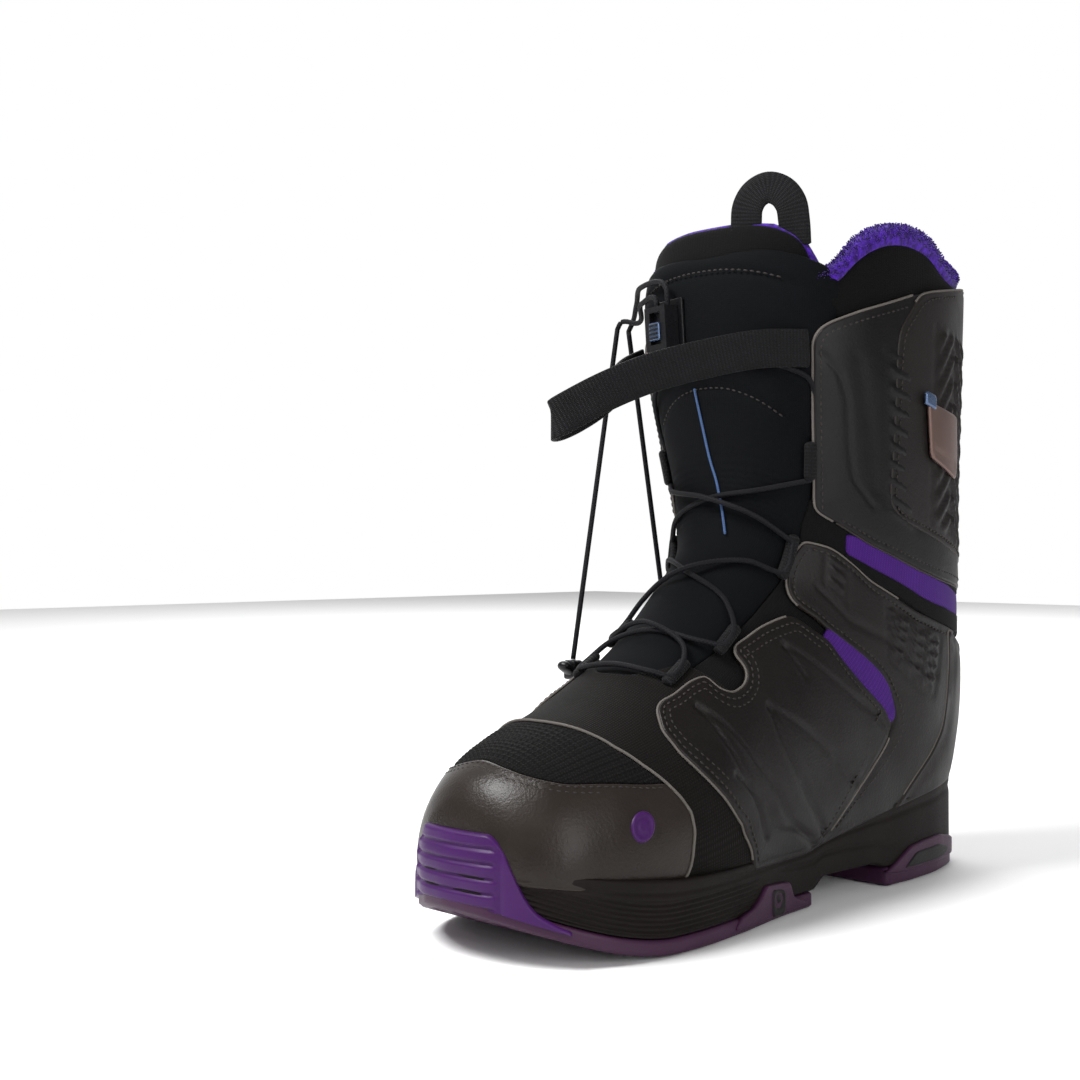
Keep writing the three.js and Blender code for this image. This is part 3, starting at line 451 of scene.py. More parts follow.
@dataclass
class Cut:
    """A flat piece cut to an outline and laid on a curved surface.

    Attributes:
        ring: closed outline in developed millimetres.
        base: height of its face over the surface, in millimetres.
        thick: its thickness.
        pitch: size of its triangles.
        corner: corner radius of the outline.
        edge: radius of its rounded edge.
        crown: how much its middle stands over its edge.
        seams: distances of sewn rows from the edge.
        lift: map from developed coordinates to points and normals.
    """

    ring: Points
    base: float = 0.0
    thick: float = 2.0
    pitch: float = 2.2
    corner: float = 3.0
    edge: float = 0.9
    crown: float = 0.0
    seams: tuple[float, ...] = ()
    relief: Optional[Relief] = None
    lift: Callable[[Points], tuple[Points, Points]] = SKIN.lift

    def __post_init__(self) -> None:
        """Rounds the outline and turns it counter-clockwise."""
        ring = softened(resampled(self.ring, 1.0, True), self.corner)
        nxt = np.roll(ring, -1, 0)
        if (ring[:, 0] * nxt[:, 1] - ring[:, 1] * nxt[:, 0]).sum() < 0:
            ring = ring[::-1]
        self.ring = resampled(ring, self.pitch * 0.8, True)

    def height(self, points: Points, flat: Points, rim: Points) -> Points:
        """Height of the face over the surface at each point."""
        r = self.edge
        roll = r - np.sqrt(np.maximum(r * r - (r - np.minimum(rim, r)) ** 2, 0))
        h = self.base - roll + self.crown * (1 - np.exp(-rim / 9.0))
        for row in self.seams:
            h = h - 0.32 * np.exp(-(((rim - row) / 0.55) ** 2))
        if self.relief is not None:
            h = h + self.relief(points, flat) * smooth_step(rim, 0.4, 2.0)
        return h

    def build(self, name: str) -> bpy.types.Object:
        """Makes the closed piece."""
        flat, faces = triangulate(self.ring, self.pitch)
        points, normals = self.lift(flat)
        rim = distance_to(points, self.lift(self.ring)[0], True)
        h = self.height(points, flat, rim)
        outer = points + normals * h[:, None]
        inner = points + normals * (self.base - self.thick)
        corners = outer[faces]
        facing = np.cross(corners[:, 1] - corners[:, 0], corners[:, 2] - corners[:, 0])
        if (facing * normals[faces[:, 0]]).sum() < 0:
            faces = faces[:, ::-1]
        verts, all_faces = closed_shell(outer, inner, faces)
        piece = new_piece(name, verts, all_faces)
        set_flat(piece, np.vstack([flat, flat]))
        set_number(piece, "rim", np.concatenate([rim, np.zeros(len(rim))]))
        return piece

    def edge_line(self, inset: float, rise: float, keep: Callable[[Points], Points]) -> list:
        """Lines along the edge, such as a seam or a piping, where keep allows them.

        Args:
            inset: distance from the edge.
            rise: height over the panel's face.
            keep: which of the (n, 3) points belong to the line.
        Returns:
            A list of (points, normals) runs.
        """
        ring = resampled(self.ring, 1.2, True)
        points, normals = self.lift(ring + inward_of(ring, 2) * inset)
        good = keep(points)
        if inset > 0:
            good &= distance_to(points, self.lift(ring)[0], True) > inset * 0.8
        top = points + normals * (self.base + rise)
        runs, start = [], None
        if good.all():
            return [(np.vstack([top, top[:1]]), np.vstack([normals, normals[:1]]))]
        shift = int(np.argmin(good))
        order = np.roll(np.arange(len(good)), -shift)
        for i in range(len(order) + 1):
            ok = i < len(order) and good[order[i]]
            if ok and start is None:
                start = i
            if not ok and start is not None:
                run = order[start:i]
                start = None
                if len(run) > 4:
                    runs.append((top[run], normals[run]))
        return runs


def swept(
    line: Points, across: Points, section: Sequence[tuple[float, float]], name: str,
    scale: Optional[Points] = None, round_caps: bool = True,
) -> bpy.types.Object:
    """A solid with a closed section swept along a line.

    Args:
        line: (n, 3) millimetres.
        across: (n, 3) or (3,) directions of the section's first axis.
        section: closed outline of (first axis, second axis) pairs, counter-clockwise.
        name: piece name.
        scale: size of the section at each point, 1 if left out.
        round_caps: closes the ends with a small dome.
    Returns:
        The piece, with a UV map of run and girth.
    """
    line = np.asarray(line, float)
    tangent = unit(np.gradient(line, axis=0))
    first = np.broadcast_to(np.asarray(across, float), line.shape)
    first = unit(first - (first * tangent).sum(1, keepdims=True) * tangent)
    second = np.cross(tangent, first)
    size = np.ones(len(line)) if scale is None else np.asarray(scale, float)
    sec = np.asarray(section, float)
    run = path_length(line)
    if round_caps:
        reach = min(np.ptp(sec[:, 0]), np.ptp(sec[:, 1])) / 2
        steps = np.array([1.0, 0.8, 0.45])
        grow = np.sqrt(np.maximum(1 - steps**2, 0.02))
        head = line[0] - tangent[0] * (reach * size[0] * steps)[:, None]
        tail = line[-1] + tangent[-1] * (reach * size[-1] * steps[::-1])[:, None]
        line = np.vstack([head, line, tail])
        first = np.vstack([[first[0]] * 3, first, [first[-1]] * 3])
        second = np.vstack([[second[0]] * 3, second, [second[-1]] * 3])
        size = np.concatenate([size[0] * grow, size, size[-1] * grow[::-1]])
        run = path_length(line)
    m = len(sec)
    grid = (
        line[:, None]
        + first[:, None] * (sec[None, :, :1] * size[:, None, None])
        + second[:, None] * (sec[None, :, 1:] * size[:, None, None])
    )
    girth = path_length(np.vstack([sec, sec[:1]]))[:-1]
    faces = []
    for i in range(len(line) - 1):
        for j in range(m):
            k = (j + 1) % m
            faces.append((i * m + j, i * m + k, (i + 1) * m + k, (i + 1) * m + j))
    last = (len(line) - 1) * m
    faces.append(tuple(range(m - 1, -1, -1)))
    faces.append(tuple(last + j for j in range(m)))
    piece = new_piece(name, grid.reshape(-1, 3), faces)
    set_flat(piece, np.stack(np.meshgrid(run, girth, indexing="ij"), -1).reshape(-1, 2))
    outward(piece)
    return piece


def circle(radius: float, sides: int, squash: float = 1.0) -> list[tuple[float, float]]:
    """A round or oval section."""
    turns = [2 * math.pi * k / sides for k in range(sides)]
    return [(radius * math.cos(t), radius * squash * math.sin(t)) for t in turns]


def flat_section(width: float, thick: float) -> list[tuple[float, float]]:
    """A strap section with rounded edges."""
    w, t = width / 2, thick / 2
    half = [(w - t * 0.6, t), (w - t * 0.15, t * 0.7), (w, 0), (w - t * 0.15, -t * 0.7),
            (w - t * 0.6, -t), (w * 0.5, -t), (0, -t), (-w * 0.5, -t)]
    return [(-x, -y) for x, y in half][::-1] + half[::-1]


# ------------------------------------------------------------------ Geometry Nodes
def wire(node: bpy.types.Node, **inputs: object) -> None:
    """Sets or links a node's inputs.

    Args:
        node: the node.
        inputs: socket names, with underscores for spaces, and a value or a socket each.
    """
    for key, value in inputs.items():
        name = key.replace("_", " ")
        socket = next(s for s in node.inputs if s.name == name and s.enabled)
        if isinstance(value, bpy.types.NodeSocket):
            node.id_data.links.new(value, socket)
        else:
            socket.default_value = value


def add(
    tree: bpy.types.NodeTree, kind: str, settings: Optional[dict] = None, **inputs: object
) -> bpy.types.Node:
    """Adds a node, sets its properties and sets or links its inputs.

    Args:
        tree: the node tree.
        kind: the node's type name.
        settings: properties of the node.
        inputs: socket names, with underscores for spaces, and a value or a socket each.
    Returns:
        The node.
    """
    node = tree.nodes.new(kind)
    for key, value in (settings or {}).items():
        setattr(node, key, value)
    wire(node, **inputs)
    return node


def new_tree(name: str, **sizes: float) -> tuple:
    """A geometry tree with a Geometry and a Material input and one number for each size."""
    tree = bpy.data.node_groups.new(name, "GeometryNodeTree")
    tree.interface.new_socket("Geometry", in_out="INPUT", socket_type="NodeSocketGeometry")
    for label, value in sizes.items():
        socket = tree.interface.new_socket(label, in_out="INPUT", socket_type="NodeSocketFloat")
        socket.default_value = value
    tree.interface.new_socket("Material", in_out="INPUT", socket_type="NodeSocketMaterial")
    tree.interface.new_socket("Geometry", in_out="OUTPUT", socket_type="NodeSocketGeometry")
    return tree, tree.nodes.new("NodeGroupInput"), tree.nodes.new("NodeGroupOutput")


def end_tree(
    tree: bpy.types.NodeTree, given: bpy.types.Node, out: bpy.types.Node,
    shape: bpy.types.NodeSocket,
) -> None:
    """Finishes a tree: real geometry, smooth faces and the given material."""
    real = add(tree, "GeometryNodeRealizeInstances", Geometry=shape)
    smooth = add(tree, "GeometryNodeSetShadeSmooth", Geometry=real.outputs[0])
    dressed = add(tree, "GeometryNodeSetMaterial", Geometry=smooth.outputs[0],
                  Material=given.outputs["Material"])
    tree.links.new(dressed.outputs[0], out.inputs[0])


def stitch_tree() -> bpy.types.NodeTree:
    """Lays a thread every Pitch along a line, lying flat under the line's up direction."""
    tree, given, out = new_tree("stitches", Pitch=0.003, Length=0.002, Thickness=0.0006)
    curve = add(tree, "GeometryNodeMeshToCurve", Mesh=given.outputs["Geometry"])
    even = add(tree, "GeometryNodeResampleCurve", {"mode": "LENGTH"},
               Curve=curve.outputs[0], Length=given.outputs["Pitch"])
    up = add(tree, "GeometryNodeInputNamedAttribute", {"data_type": "FLOAT_VECTOR"}, Name="up")
    run = add(tree, "GeometryNodeInputTangent")
    turn = add(tree, "FunctionNodeAxesToRotation",
               {"primary_axis": "Z", "secondary_axis": "X"},
               Primary_Axis=up.outputs["Attribute"], Secondary_Axis=run.outputs[0])
    ball = add(tree, "GeometryNodeMeshUVSphere", Segments=6, Rings=4, Radius=0.5)
    size = add(tree, "ShaderNodeCombineXYZ", X=given.outputs["Length"],
               Y=given.outputs["Thickness"], Z=given.outputs["Thickness"])
    lay = add(tree, "GeometryNodeInstanceOnPoints", Points=even.outputs[0],
              Instance=ball.outputs["Mesh"], Rotation=turn.outputs[0], Scale=size.outputs[0])
    end_tree(tree, given, out, lay.outputs[0])
    return tree


def piping_tree() -> bpy.types.NodeTree:
    """Runs a round cord of Radius along a line."""
    tree, given, out = new_tree("piping", Radius=0.0007)
    curve = add(tree, "GeometryNodeMeshToCurve", Mesh=given.outputs["Geometry"])
    ring = add(tree, "GeometryNodeCurvePrimitiveCircle", Resolution=8,
               Radius=given.outputs["Radius"])
    body = add(tree, "GeometryNodeCurveToMesh", Curve=curve.outputs[0],
               Profile_Curve=ring.outputs[0], Fill_Caps=True)
    end_tree(tree, given, out, body.outputs[0])
    return tree


def fibre_tree() -> bpy.types.NodeTree:
    """Stands short crooked fibres on a surface, Density of them for each square metre."""
    tree, given, out = new_tree("pile", Density=4e5, Length=0.002, Radius=0.0004)
    spots = add(tree, "GeometryNodeDistributePointsOnFaces", {"distribute_method": "RANDOM"},
                Mesh=given.outputs["Geometry"], Density=given.outputs["Density"], Seed=7)
    lean = add(tree, "FunctionNodeRandomValue", {"data_type": "FLOAT_VECTOR"},
               Min=(-0.75, -0.75, -3.1), Max=(0.75, 0.75, 3.1), Seed=3)
    tip = add(tree, "FunctionNodeEulerToRotation", Euler=lean.outputs["Value"])
    turn = add(tree, "FunctionNodeRotateRotation", {"rotation_space": "LOCAL"},
               Rotation=spots.outputs["Rotation"], Rotate_By=tip.outputs[0])
    cone = add(tree, "GeometryNodeMeshCone", {"fill_type": "NONE"}, Vertices=4,
               Side_Segments=2, Radius_Top=given.outputs["Radius"],
               Radius_Bottom=given.outputs["Radius"], Depth=given.outputs["Length"])
    size = add(tree, "FunctionNodeRandomValue", {"data_type": "FLOAT"}, Seed=5)
    size.inputs[2].default_value, size.inputs[3].default_value = 0.5, 1.2
    stand = add(tree, "GeometryNodeInstanceOnPoints", Points=spots.outputs["Points"],
                Instance=cone.outputs["Mesh"], Rotation=turn.outputs[0],
                Scale=size.outputs[1])
    end_tree(tree, given, out, stand.outputs[0])
    return tree


def grown(
    name: str, base: bpy.types.Object, tree: bpy.types.NodeTree,
    material: bpy.types.Material, **sizes: float,
) -> bpy.types.Object:
    """Runs a tree on a base object and returns the result as a plain mesh object.

    Args:
        name: the new piece.
        base: what the tree works on.
        tree: the geometry tree.
        material: material of what it makes.
        sizes: the tree's inputs by name.
    Returns:
        The new object.
    """
    modifier = base.modifiers.new("grow", "NODES")
    modifier.node_group = tree
    for item in tree.interface.items_tree:
        if item.in_out == "INPUT" and item.name in sizes:
            modifier[item.identifier] = float(sizes[item.name])
        if item.in_out == "INPUT" and item.name == "Material":
            modifier[item.identifier] = material
    graph = bpy.context.evaluated_depsgraph_get()
    mesh = bpy.data.meshes.new_from_object(base.evaluated_get(graph), depsgraph=graph)
    mesh.name = name
    base.modifiers.remove(modifier)
    piece = bpy.data.objects.new(piece_name(name), mesh)
    bpy.context.scene.collection.objects.link(piece)
    bpy.data.objects.remove(base)
    return piece


def guide(name: str, runs: list) -> bpy.types.Object:
    """A wire object of several lines, each with its up directions.

    Args:
        name: object name.
        runs: (points, normals) pairs in millimetres.
    Returns:
        The object, to feed a tree with.
    """
    points = np.vstack([p for p, _ in runs])
    ups = np.vstack([n for _, n in runs])
    edges, start = [], 0
    for p, _ in runs:
        edges += [(start + i, start + i + 1) for i in range(len(p) - 1)]
        start += len(p)
    mesh = bpy.data.meshes.new(name)
    mesh.from_pydata((points * MM).tolist(), edges, [])
    layer = mesh.attributes.new("up", "FLOAT_VECTOR", "POINT")
    layer.data.foreach_set("vector", ups.astype(np.float32).ravel())
    wire = bpy.data.objects.new(name, mesh)
    bpy.context.scene.collection.objects.link(wire)
    return wire


# ------------------------------------------------------------------ finishes
def linear(hex_colour: str) -> tuple[float, float, float, float]:
    """Turns an sRGB hex colour into linear RGBA."""
    parts = [int(hex_colour[i : i + 2], 16) / 255 for i in (0, 2, 4)]
    rgb = [c / 12.92 if c <= 0.04045 else ((c + 0.055) / 1.055) ** 2.4 for c in parts]
    return (*rgb, 1.0)


def blank(name: str, roughness: float, **constants: float) -> tuple:
    """A material with one Principled shader.

    Args:
        name: material name.
        roughness: its roughness where no node drives it.
        constants: other shader inputs, with underscores for spaces.
    Returns:
        (material, tree, shader).
    """
    material = bpy.data.materials.new(name)
    material.use_nodes = True
    tree = material.node_tree
    shader = next(n for n in tree.nodes if n.type == "BSDF_PRINCIPLED")
    wire(shader, Roughness=roughness, **constants)
    return material, tree, shader


def per_metre(mm: float) -> float:
    """Texture scale that gives cells of this many millimetres."""
    return 1000.0 / mm


def wave_scale(mm: float) -> float:
    """Wave texture scale that repeats every so many millimetres."""
    return 1000.0 * math.pi / 10.0 / mm


def calc(
    tree: bpy.types.NodeTree, operation: str, a: bpy.types.NodeSocket, b: bpy.types.NodeSocket
) -> bpy.types.NodeSocket:
    """The result of one sum on two sockets."""
    node = add(tree, "ShaderNodeMath", {"operation": operation})
    tree.links.new(a, node.inputs[0])
    tree.links.new(b, node.inputs[1])
    return node.outputs[0]


def bump(tree: bpy.types.NodeTree, shader: bpy.types.Node, height: bpy.types.NodeSocket,
         depth_mm: float, strength: float) -> None:
    """Puts a height from 0 to 1 on the shader as a bump of a real depth."""
    node = add(tree, "ShaderNodeBump", Height=height, Distance=depth_mm * MM, Strength=strength)
    wire(shader, Normal=node.outputs[0])


def mixed(
    tree: bpy.types.NodeTree, factor: bpy.types.NodeSocket, a: str | bpy.types.NodeSocket,
    b: str | bpy.types.NodeSocket,
) -> bpy.types.NodeSocket:
    """Mixes two colours, each a hex string or a socket."""
    node = tree.nodes.new("ShaderNodeMix")
    node.data_type = "RGBA"
    sockets = [s for s in node.inputs if s.enabled]
    for socket, value in zip(sockets, (factor, a, b)):
        if isinstance(value, bpy.types.NodeSocket):
            tree.links.new(value, socket)
        else:
            socket.default_value = linear(value)
    return next(s for s in node.outputs if s.enabled)


@dataclass(frozen=True)
class Leather:
    """Coated split leather, embossed with a fine grain and rolled at its cut edges."""

    name: str
    colour: str
    light: str
    worn: str
    grain: float = 1.1
    roughness: tuple[float, float] = (0.36, 0.52)

    def make(self) -> bpy.types.Material:
        """Pebbled satin surface, slightly paler along its rim."""
        material, tree, shader = blank(self.name, 0.45, Specular_IOR_Level=0.18)
        place = add(tree, "ShaderNodeTexCoord").outputs["Object"]
        cells = add(tree, "ShaderNodeTexVoronoi", {"feature": "SMOOTH_F1"}, Vector=place,
                    Scale=per_metre(self.grain))
        clouds = add(tree, "ShaderNodeTexNoise", Vector=place, Scale=per_metre(22), Detail=5.0)
        fine = add(tree, "ShaderNodeTexNoise", Vector=place, Scale=per_metre(0.5), Detail=2.0)
        tone = mixed(tree, clouds.outputs["Fac"], self.colour, self.light)
        rim = add(tree, "ShaderNodeAttribute", {"attribute_name": "rim"})
        edge = add(tree, "ShaderNodeMapRange", Value=rim.outputs["Fac"], From_Min=0.15,
                   From_Max=0.9, To_Min=0.55, To_Max=0.0)
        colour = mixed(tree, edge.outputs[0], tone, self.worn)
        rough = add(tree, "ShaderNodeMapRange", Value=clouds.outputs["Fac"], From_Min=0.3,
                    From_Max=0.7, To_Min=self.roughness[0], To_Max=self.roughness[1])
        wire(shader, Base_Color=colour, Roughness=rough.outputs[0])
        height = calc(tree, "ADD", cells.outputs["Distance"], fine.outputs["Fac"])
        bump(tree, shader, height, 0.14, 0.5)
        return material


@dataclass(frozen=True)
class Weave:
    """Woven or knitted cloth, drawn from two crossing rows of thread."""

    name: str
    colour: str
    light: str
    warp: float = 1.0
    weft: float = 1.0
    depth: float = 0.12
    roughness: float = 0.85
    sheen: float = 0.02

    def make(self) -> bpy.types.Material:
        """Matt cloth with thread relief, painted shade in the gaps between threads and slight
        random changes of tone.
        """
        material, tree, shader = blank(self.name, self.roughness, Sheen_Weight=self.sheen,
                                       Specular_IOR_Level=0.1)
        flat = add(tree, "ShaderNodeUVMap", {"uv_map": "Flat"}).outputs[0]
        along = add(tree, "ShaderNodeTexWave", {"bands_direction": "X"}, Vector=flat,
                    Scale=wave_scale(self.warp), Distortion=0.4)
        across = add(tree, "ShaderNodeTexWave", {"bands_direction": "Y"}, Vector=flat,
                     Scale=wave_scale(self.weft), Distortion=0.4)
        both = calc(tree, "MULTIPLY", along.outputs["Fac"], across.outputs["Fac"])
        spot = add(tree, "ShaderNodeTexCoord").outputs["Object"]
        clouds = add(tree, "ShaderNodeTexNoise", Vector=spot, Scale=per_metre(14), Detail=4.0)
        # Painted shade: where the thread height is low, in the gaps of the weave, the colour is
        # darker; clouds vary it at random.
        tone = calc(tree, "MULTIPLY", both, clouds.outputs["Fac"])
        wire(shader, Base_Color=mixed(tree, tone, self.colour, self.light))
        bump(tree, shader, both, self.depth, 0.8)
        return material


@dataclass(frozen=True)
class Moulded:
    """Moulded rubber, foam skin or nylon with a fine spark-eroded texture."""

    name: str
    colour: str
    light: str
    roughness: float = 0.5
    grit: float = 0.5
    depth: float = 0.05
    metallic: float = 0.0
    specular: float = 0.25

    def make(self) -> bpy.types.Material:
        """Even colour with soft clouds, dust in the texture and a fine grit."""
        material, tree, shader = blank(self.name, self.roughness, Metallic=self.metallic,
                                       Specular_IOR_Level=self.specular)
        place = add(tree, "ShaderNodeTexCoord").outputs["Object"]
        clouds = add(tree, "ShaderNodeTexNoise", Vector=place, Scale=per_metre(18), Detail=4.0)
        grit = add(tree, "ShaderNodeTexNoise", Vector=place, Scale=per_metre(self.grit),
                   Detail=2.0)
        colour = mixed(tree, clouds.outputs["Fac"], self.colour, self.light)
        rough = add(tree, "ShaderNodeMapRange", Value=grit.outputs["Fac"], From_Min=0.3,
                    From_Max=0.7, To_Min=self.roughness - 0.08, To_Max=self.roughness + 0.08)
        wire(shader, Base_Color=colour, Roughness=rough.outputs[0])
        bump(tree, shader, grit.outputs["Fac"], self.depth, 0.6)
        return material


@dataclass(frozen=True)
class Braid:
    """Round braided cord with strands that cross at a slant."""

    name: str
    colour: str
    light: str
    strand: float = 1.3
    roughness: float = 0.7

    def make(self) -> bpy.types.Material:
        """Two slanted rows of strands, paler on their crowns, with painted shade darkening the
        gaps between them.
        """
        material, tree, shader = blank(self.name, self.roughness, Specular_IOR_Level=0.15)
        flat = add(tree, "ShaderNodeUVMap", {"uv_map": "Flat"}).outputs[0]
        bands = []
        for slant in (0.65, -0.65):
            place = add(tree, "ShaderNodeMapping", Vector=flat, Rotation=(0.0, 0.0, slant))
            bands.append(add(tree, "ShaderNodeTexWave", {"bands_direction": "X"},
                             Vector=place.outputs[0], Scale=wave_scale(self.strand)))
        both = calc(tree, "MAXIMUM", *(band.outputs["Fac"] for band in bands))
        # Painted shade: the gaps between strands, which sit low in the bump, take the darker
        # colour.
        wire(shader, Base_Color=mixed(tree, both, self.colour, self.light))
        bump(tree, shader, both, 0.15, 0.8)
        return material


@dataclass(frozen=True)
class Pile:
    """Knitted fleece pile: matt, deep-coloured, with a soft sheen on its tips."""

    name: str
    colour: str
    light: str

    def make(self) -> bpy.types.Material:
        """Clumped colour with a soft relief under the fibres."""
        material, tree, shader = blank(self.name, 1.0, Sheen_Weight=0.15, Sheen_Roughness=0.5,
                                       Specular_IOR_Level=0.1)
        place = add(tree, "ShaderNodeTexCoord").outputs["Object"]
        clumps = add(tree, "ShaderNodeTexNoise", Vector=place, Scale=per_metre(2.2), Detail=3.0)
        shade = add(tree, "ShaderNodeMapRange", Value=clumps.outputs["Fac"], From_Min=0.35,
                    From_Max=0.65)
        colour = mixed(tree, shade.outputs[0], self.colour, self.light)
        wire(shader, Base_Color=colour)
        bump(tree, shader, clumps.outputs["Fac"], 0.8, 0.7)
        return material


class Wardrobe:
    """Every finish of the boot, and the trees that grow its stitches, piping and pile."""

    def __init__(self) -> None:
        """Builds the materials and the trees."""
        # Smooth coated split leather over the toes, the glossiest of the leathers.
        self.toe_leather = Leather("coated leather, toe", "1d1816", "29231f", "413a36",
                                   roughness=(0.26, 0.38)).make()
        # The same leather with a duller finish on the side panels.
        self.leather = Leather("coated leather, upper", "0c0908", "130f0e", "2a2422").make()
        # Cuff leather, a shade cooler.
        self.cuff_leather = Leather("coated leather, cuff", "090708", "0f0d0e", "252021").make()
        # Moulded synthetic leather of the heel counter and the backstay.
        self.stay = Leather("moulded synthetic leather", "131010", "1c1817", "332d2b",
                            grain=0.8, roughness=(0.4, 0.55)).make()
        # Plain woven nylon of the vamp.
        self.vamp = Weave("woven nylon", "080706", "1b1715", 1.1, 1.1, 0.16).make()
        # Coarse spacer mesh over the toes.
        self.mesh = Weave("air mesh", "060505", "1b1918", 1.2, 1.6, 0.25).make()
        # Thin nylon behind the panels.
        self.lining = Weave("nylon lining", "060606", "0f0e10", 0.9, 0.9).make()
        # Soft jersey of the tongue, blue-black.
        self.tongue = Weave("brushed jersey", "030406", "0b0d12", 0.8, 0.8, 0.08,
                            sheen=0.0).make()
        # Elastic knit that lets the upper bend.
        self.stretch = Weave("stretch knit, purple", "33125a", "522088", 0.8, 0.9, 0.1,
                             roughness=0.75, sheen=0.05).make()
        # Fine knit on the liner's foam.
        self.liner = Weave("liner knit", "040404", "0c0c0d", 0.9, 0.9, 0.1).make()
        # Narrow fabric with crosswise ribs.
        self.webbing = Weave("ribbed polyester webbing", "0b0b0c", "222227", 1.5, 0.7, 0.3,
                             roughness=0.6, sheen=0.03).make()
        # Round laces and handle cords.
        self.lace = Braid("braided nylon lace", "050506", "141418").make()
        # The thin blue cord on the tongue.
        self.keeper = Braid("braided keeper cord", "22304c", "4a648e", 0.8).make()
        # Bonded sewing thread, just paler than the leather.
        self.thread = Moulded("bonded thread", "1a1716", "2e2927", 0.6, 0.3).make()
        # Pale raw edge of the panels.
        self.piping = Moulded("cut edge piping", "47433f", "625d58", 0.7, 0.4, 0.06).make()
        # Dark folded edge under the cuff.
        self.dark_piping = Moulded("folded edge", "1f1b1a", "2e2827", 0.55, 0.4).make()
        # Satin rubber of the toe rand.
        self.rubber = Moulded("moulded rubber, purple", "300f42", "3d1752", 0.42, 0.4,
                              specular=0.18).make()
        # Duller, redder rubber of the sole.
        self.tread = Moulded("moulded rubber, sole", "2c1029", "3a1b37", 0.5, 0.5).make()
        # Closed skin of the foam midsole.
        self.foam = Moulded("moulded foam skin", "0b0706", "140e0c", 0.6, 0.5, 0.06,
                            specular=0.12).make()
        # Black rubber inserts of the sole.
        self.black_rubber = Moulded("moulded rubber, black", "0d0b0b", "171414", 0.55).make()
        # Glass-filled nylon of the lock and the handle's rail.
        self.plastic = Moulded("moulded nylon, black", "0a0a0c", "131316", 0.32, 0.4).make()
        # Pressed fibre of the lasting board.
        self.board = Moulded("pressed fibre board", "16130f", "262019", 0.9, 0.8).make()
        # Soft grey grip with a coarse texture.
        self.grip = Moulded("textured grip", "2c2c2c", "6a6a69", 0.62, 1.4, 0.25).make()
        # Dull copper-coloured lacquer on the folded tab.
        self.tab = Moulded("lacquered metal tab", "5a4742", "75605a", 0.36, 0.4, 0.02,
                           metallic=0.7).make()
        # Brushed metallic steel of the clip and the slider; its blue-grey tint is a painted bluish
        # glint.
        self.steel = Moulded("brushed clip", "3c4a60", "66799a", 0.3, 0.3, 0.02,
                             metallic=0.8).make()
        # Knitted fleece round the top of the liner.
        self.fleece = Pile("fleece pile, purple", "26104f", "431e90").make()
        self.stitches = stitch_tree()
        self.pipes = piping_tree()
        self.fibres = fibre_tree()


# ------------------------------------------------------------------ side view outlines, x z
TOE_PIPING = ((200, 82), (197, 79), (194, 74), (188, 68), (182, 62), (176, 56), (173, 50),
              (172, 43), (173, 37), (176, 32), (183, 24))
QUARTER_FRONT = ((164, 89), (168, 86), (172, 79), (170, 71), (164, 64), (153, 53), (144, 42),
                 (137, 32), (134, 22))
QUARTER_TOP = ((75, 112), (80, 115), (89, 121), (98, 119), (107, 116), (115, 112), (122, 109),
               (124, 106), (122, 103), (121, 99), (125, 94), (133, 91), (139, 93), (141, 98),
               (148, 96), (158, 91))
STRIP_INNER = ((39, 81), (54, 92), (66, 103), (72, 111))
STRIP_OUTER = ((71, 115), (60, 108), (47, 100), (35, 91), (28, 80), (29, 74))
QUARTER_REAR = ((88, 24), (78, 30), (58, 45), (51, 50), (34, 64))
STRAP_FRONT = ((79, 152), (81, 149), (84, 143), (87, 134), (87, 128), (82, 123))
STRAP_TOP = ((-62, 102), (-4, 115), (20, 122), (49, 135), (55, 140), (68, 149))
COUNTER_EDGE = ((-10, 113), (-14, 99), (-15, 81), (-13, 67), (-3, 56), (11, 46), (31, 30))
CUFF_FRONT = ((76, 165), (78, 184), (82, 216), (84, 236), (82, 241))
CUFF_TOP = ((78, 244), (66, 249), (27, 261), (-20, 268), (-60, 271))
CUFF_BOTTOM = ((-60, 125), (0, 135), (23, 141), (51, 151), (62, 157))
BACKSTAY_EDGE = ((31, 260), (46, 243), (47, 230), (44, 168), (35, 161), (18, 156), (-4, 149),
                 (-60, 133))
COLLAR_LINE = ((90, 256), (75, 261), (67, 271), (58, 277), (48, 280), (36, 280.5),
               (25, 279), (15, 275), (7, 270), (-10, 268), (-60, 272))
FEATHER = ((-75, 47), (-57, 47), (-24, 43), (13, 39), (33, 36), (66, 31), (93, 26.5),
           (150, 26), (182, 27), (210, 30), (232, 33), (262, 37))


def shift(line: Sequence, dx: float, dz: float) -> tuple:
    """A side view line moved by dx and dz."""
    return tuple((x + dx, z + dz) for x, z in line)


def flipped(line: Sequence) -> tuple:
    """A line from its other end."""
    return tuple(reversed(tuple(line)))


def feather_z(x: Points) -> Points:
    """Height where the upper meets the sole."""
    return np.interp(x, [p[0] for p in FEATHER], [p[1] for p in FEATHER])


def under_feather(x0: float, x1: float, drop: float = 3.5) -> tuple:
    """The hidden lower edge of the upper from x0 to x1, in the side view."""
    xs = np.linspace(x0, x1, max(int(abs(x1 - x0) / 6), 2))
    return tuple((float(x), float(feather_z(x) - drop)) for x in xs)


def side_line(line: Sequence, side: Side = Side.LATERAL, step: float = 3.0) -> Points:
    """Developed coordinates along a side view line."""
    return SKIN.from_side(resampled(np.array(line, float), step), side)


def panel_ring(outline: Sequence, side: Side) -> Points:
    """Developed outline of a side panel drawn in the side view."""
    return side_line((*outline, outline[0]), side, 2.0)[:-1]


def other(line: Points, behind: bool = False) -> Points:
    """The same line on the other side of the boot, reached over the front or the back."""
    turn = 360.0 * FLAT[1] if behind else 0.0
    return np.stack([line[:, 0], turn - line[:, 1]], -1)


def both_sides(line: Points, behind: bool = False) -> Points:
    """A closed ring: a line and its mirror image."""
    return np.vstack([line, other(line, behind)[::-1]])


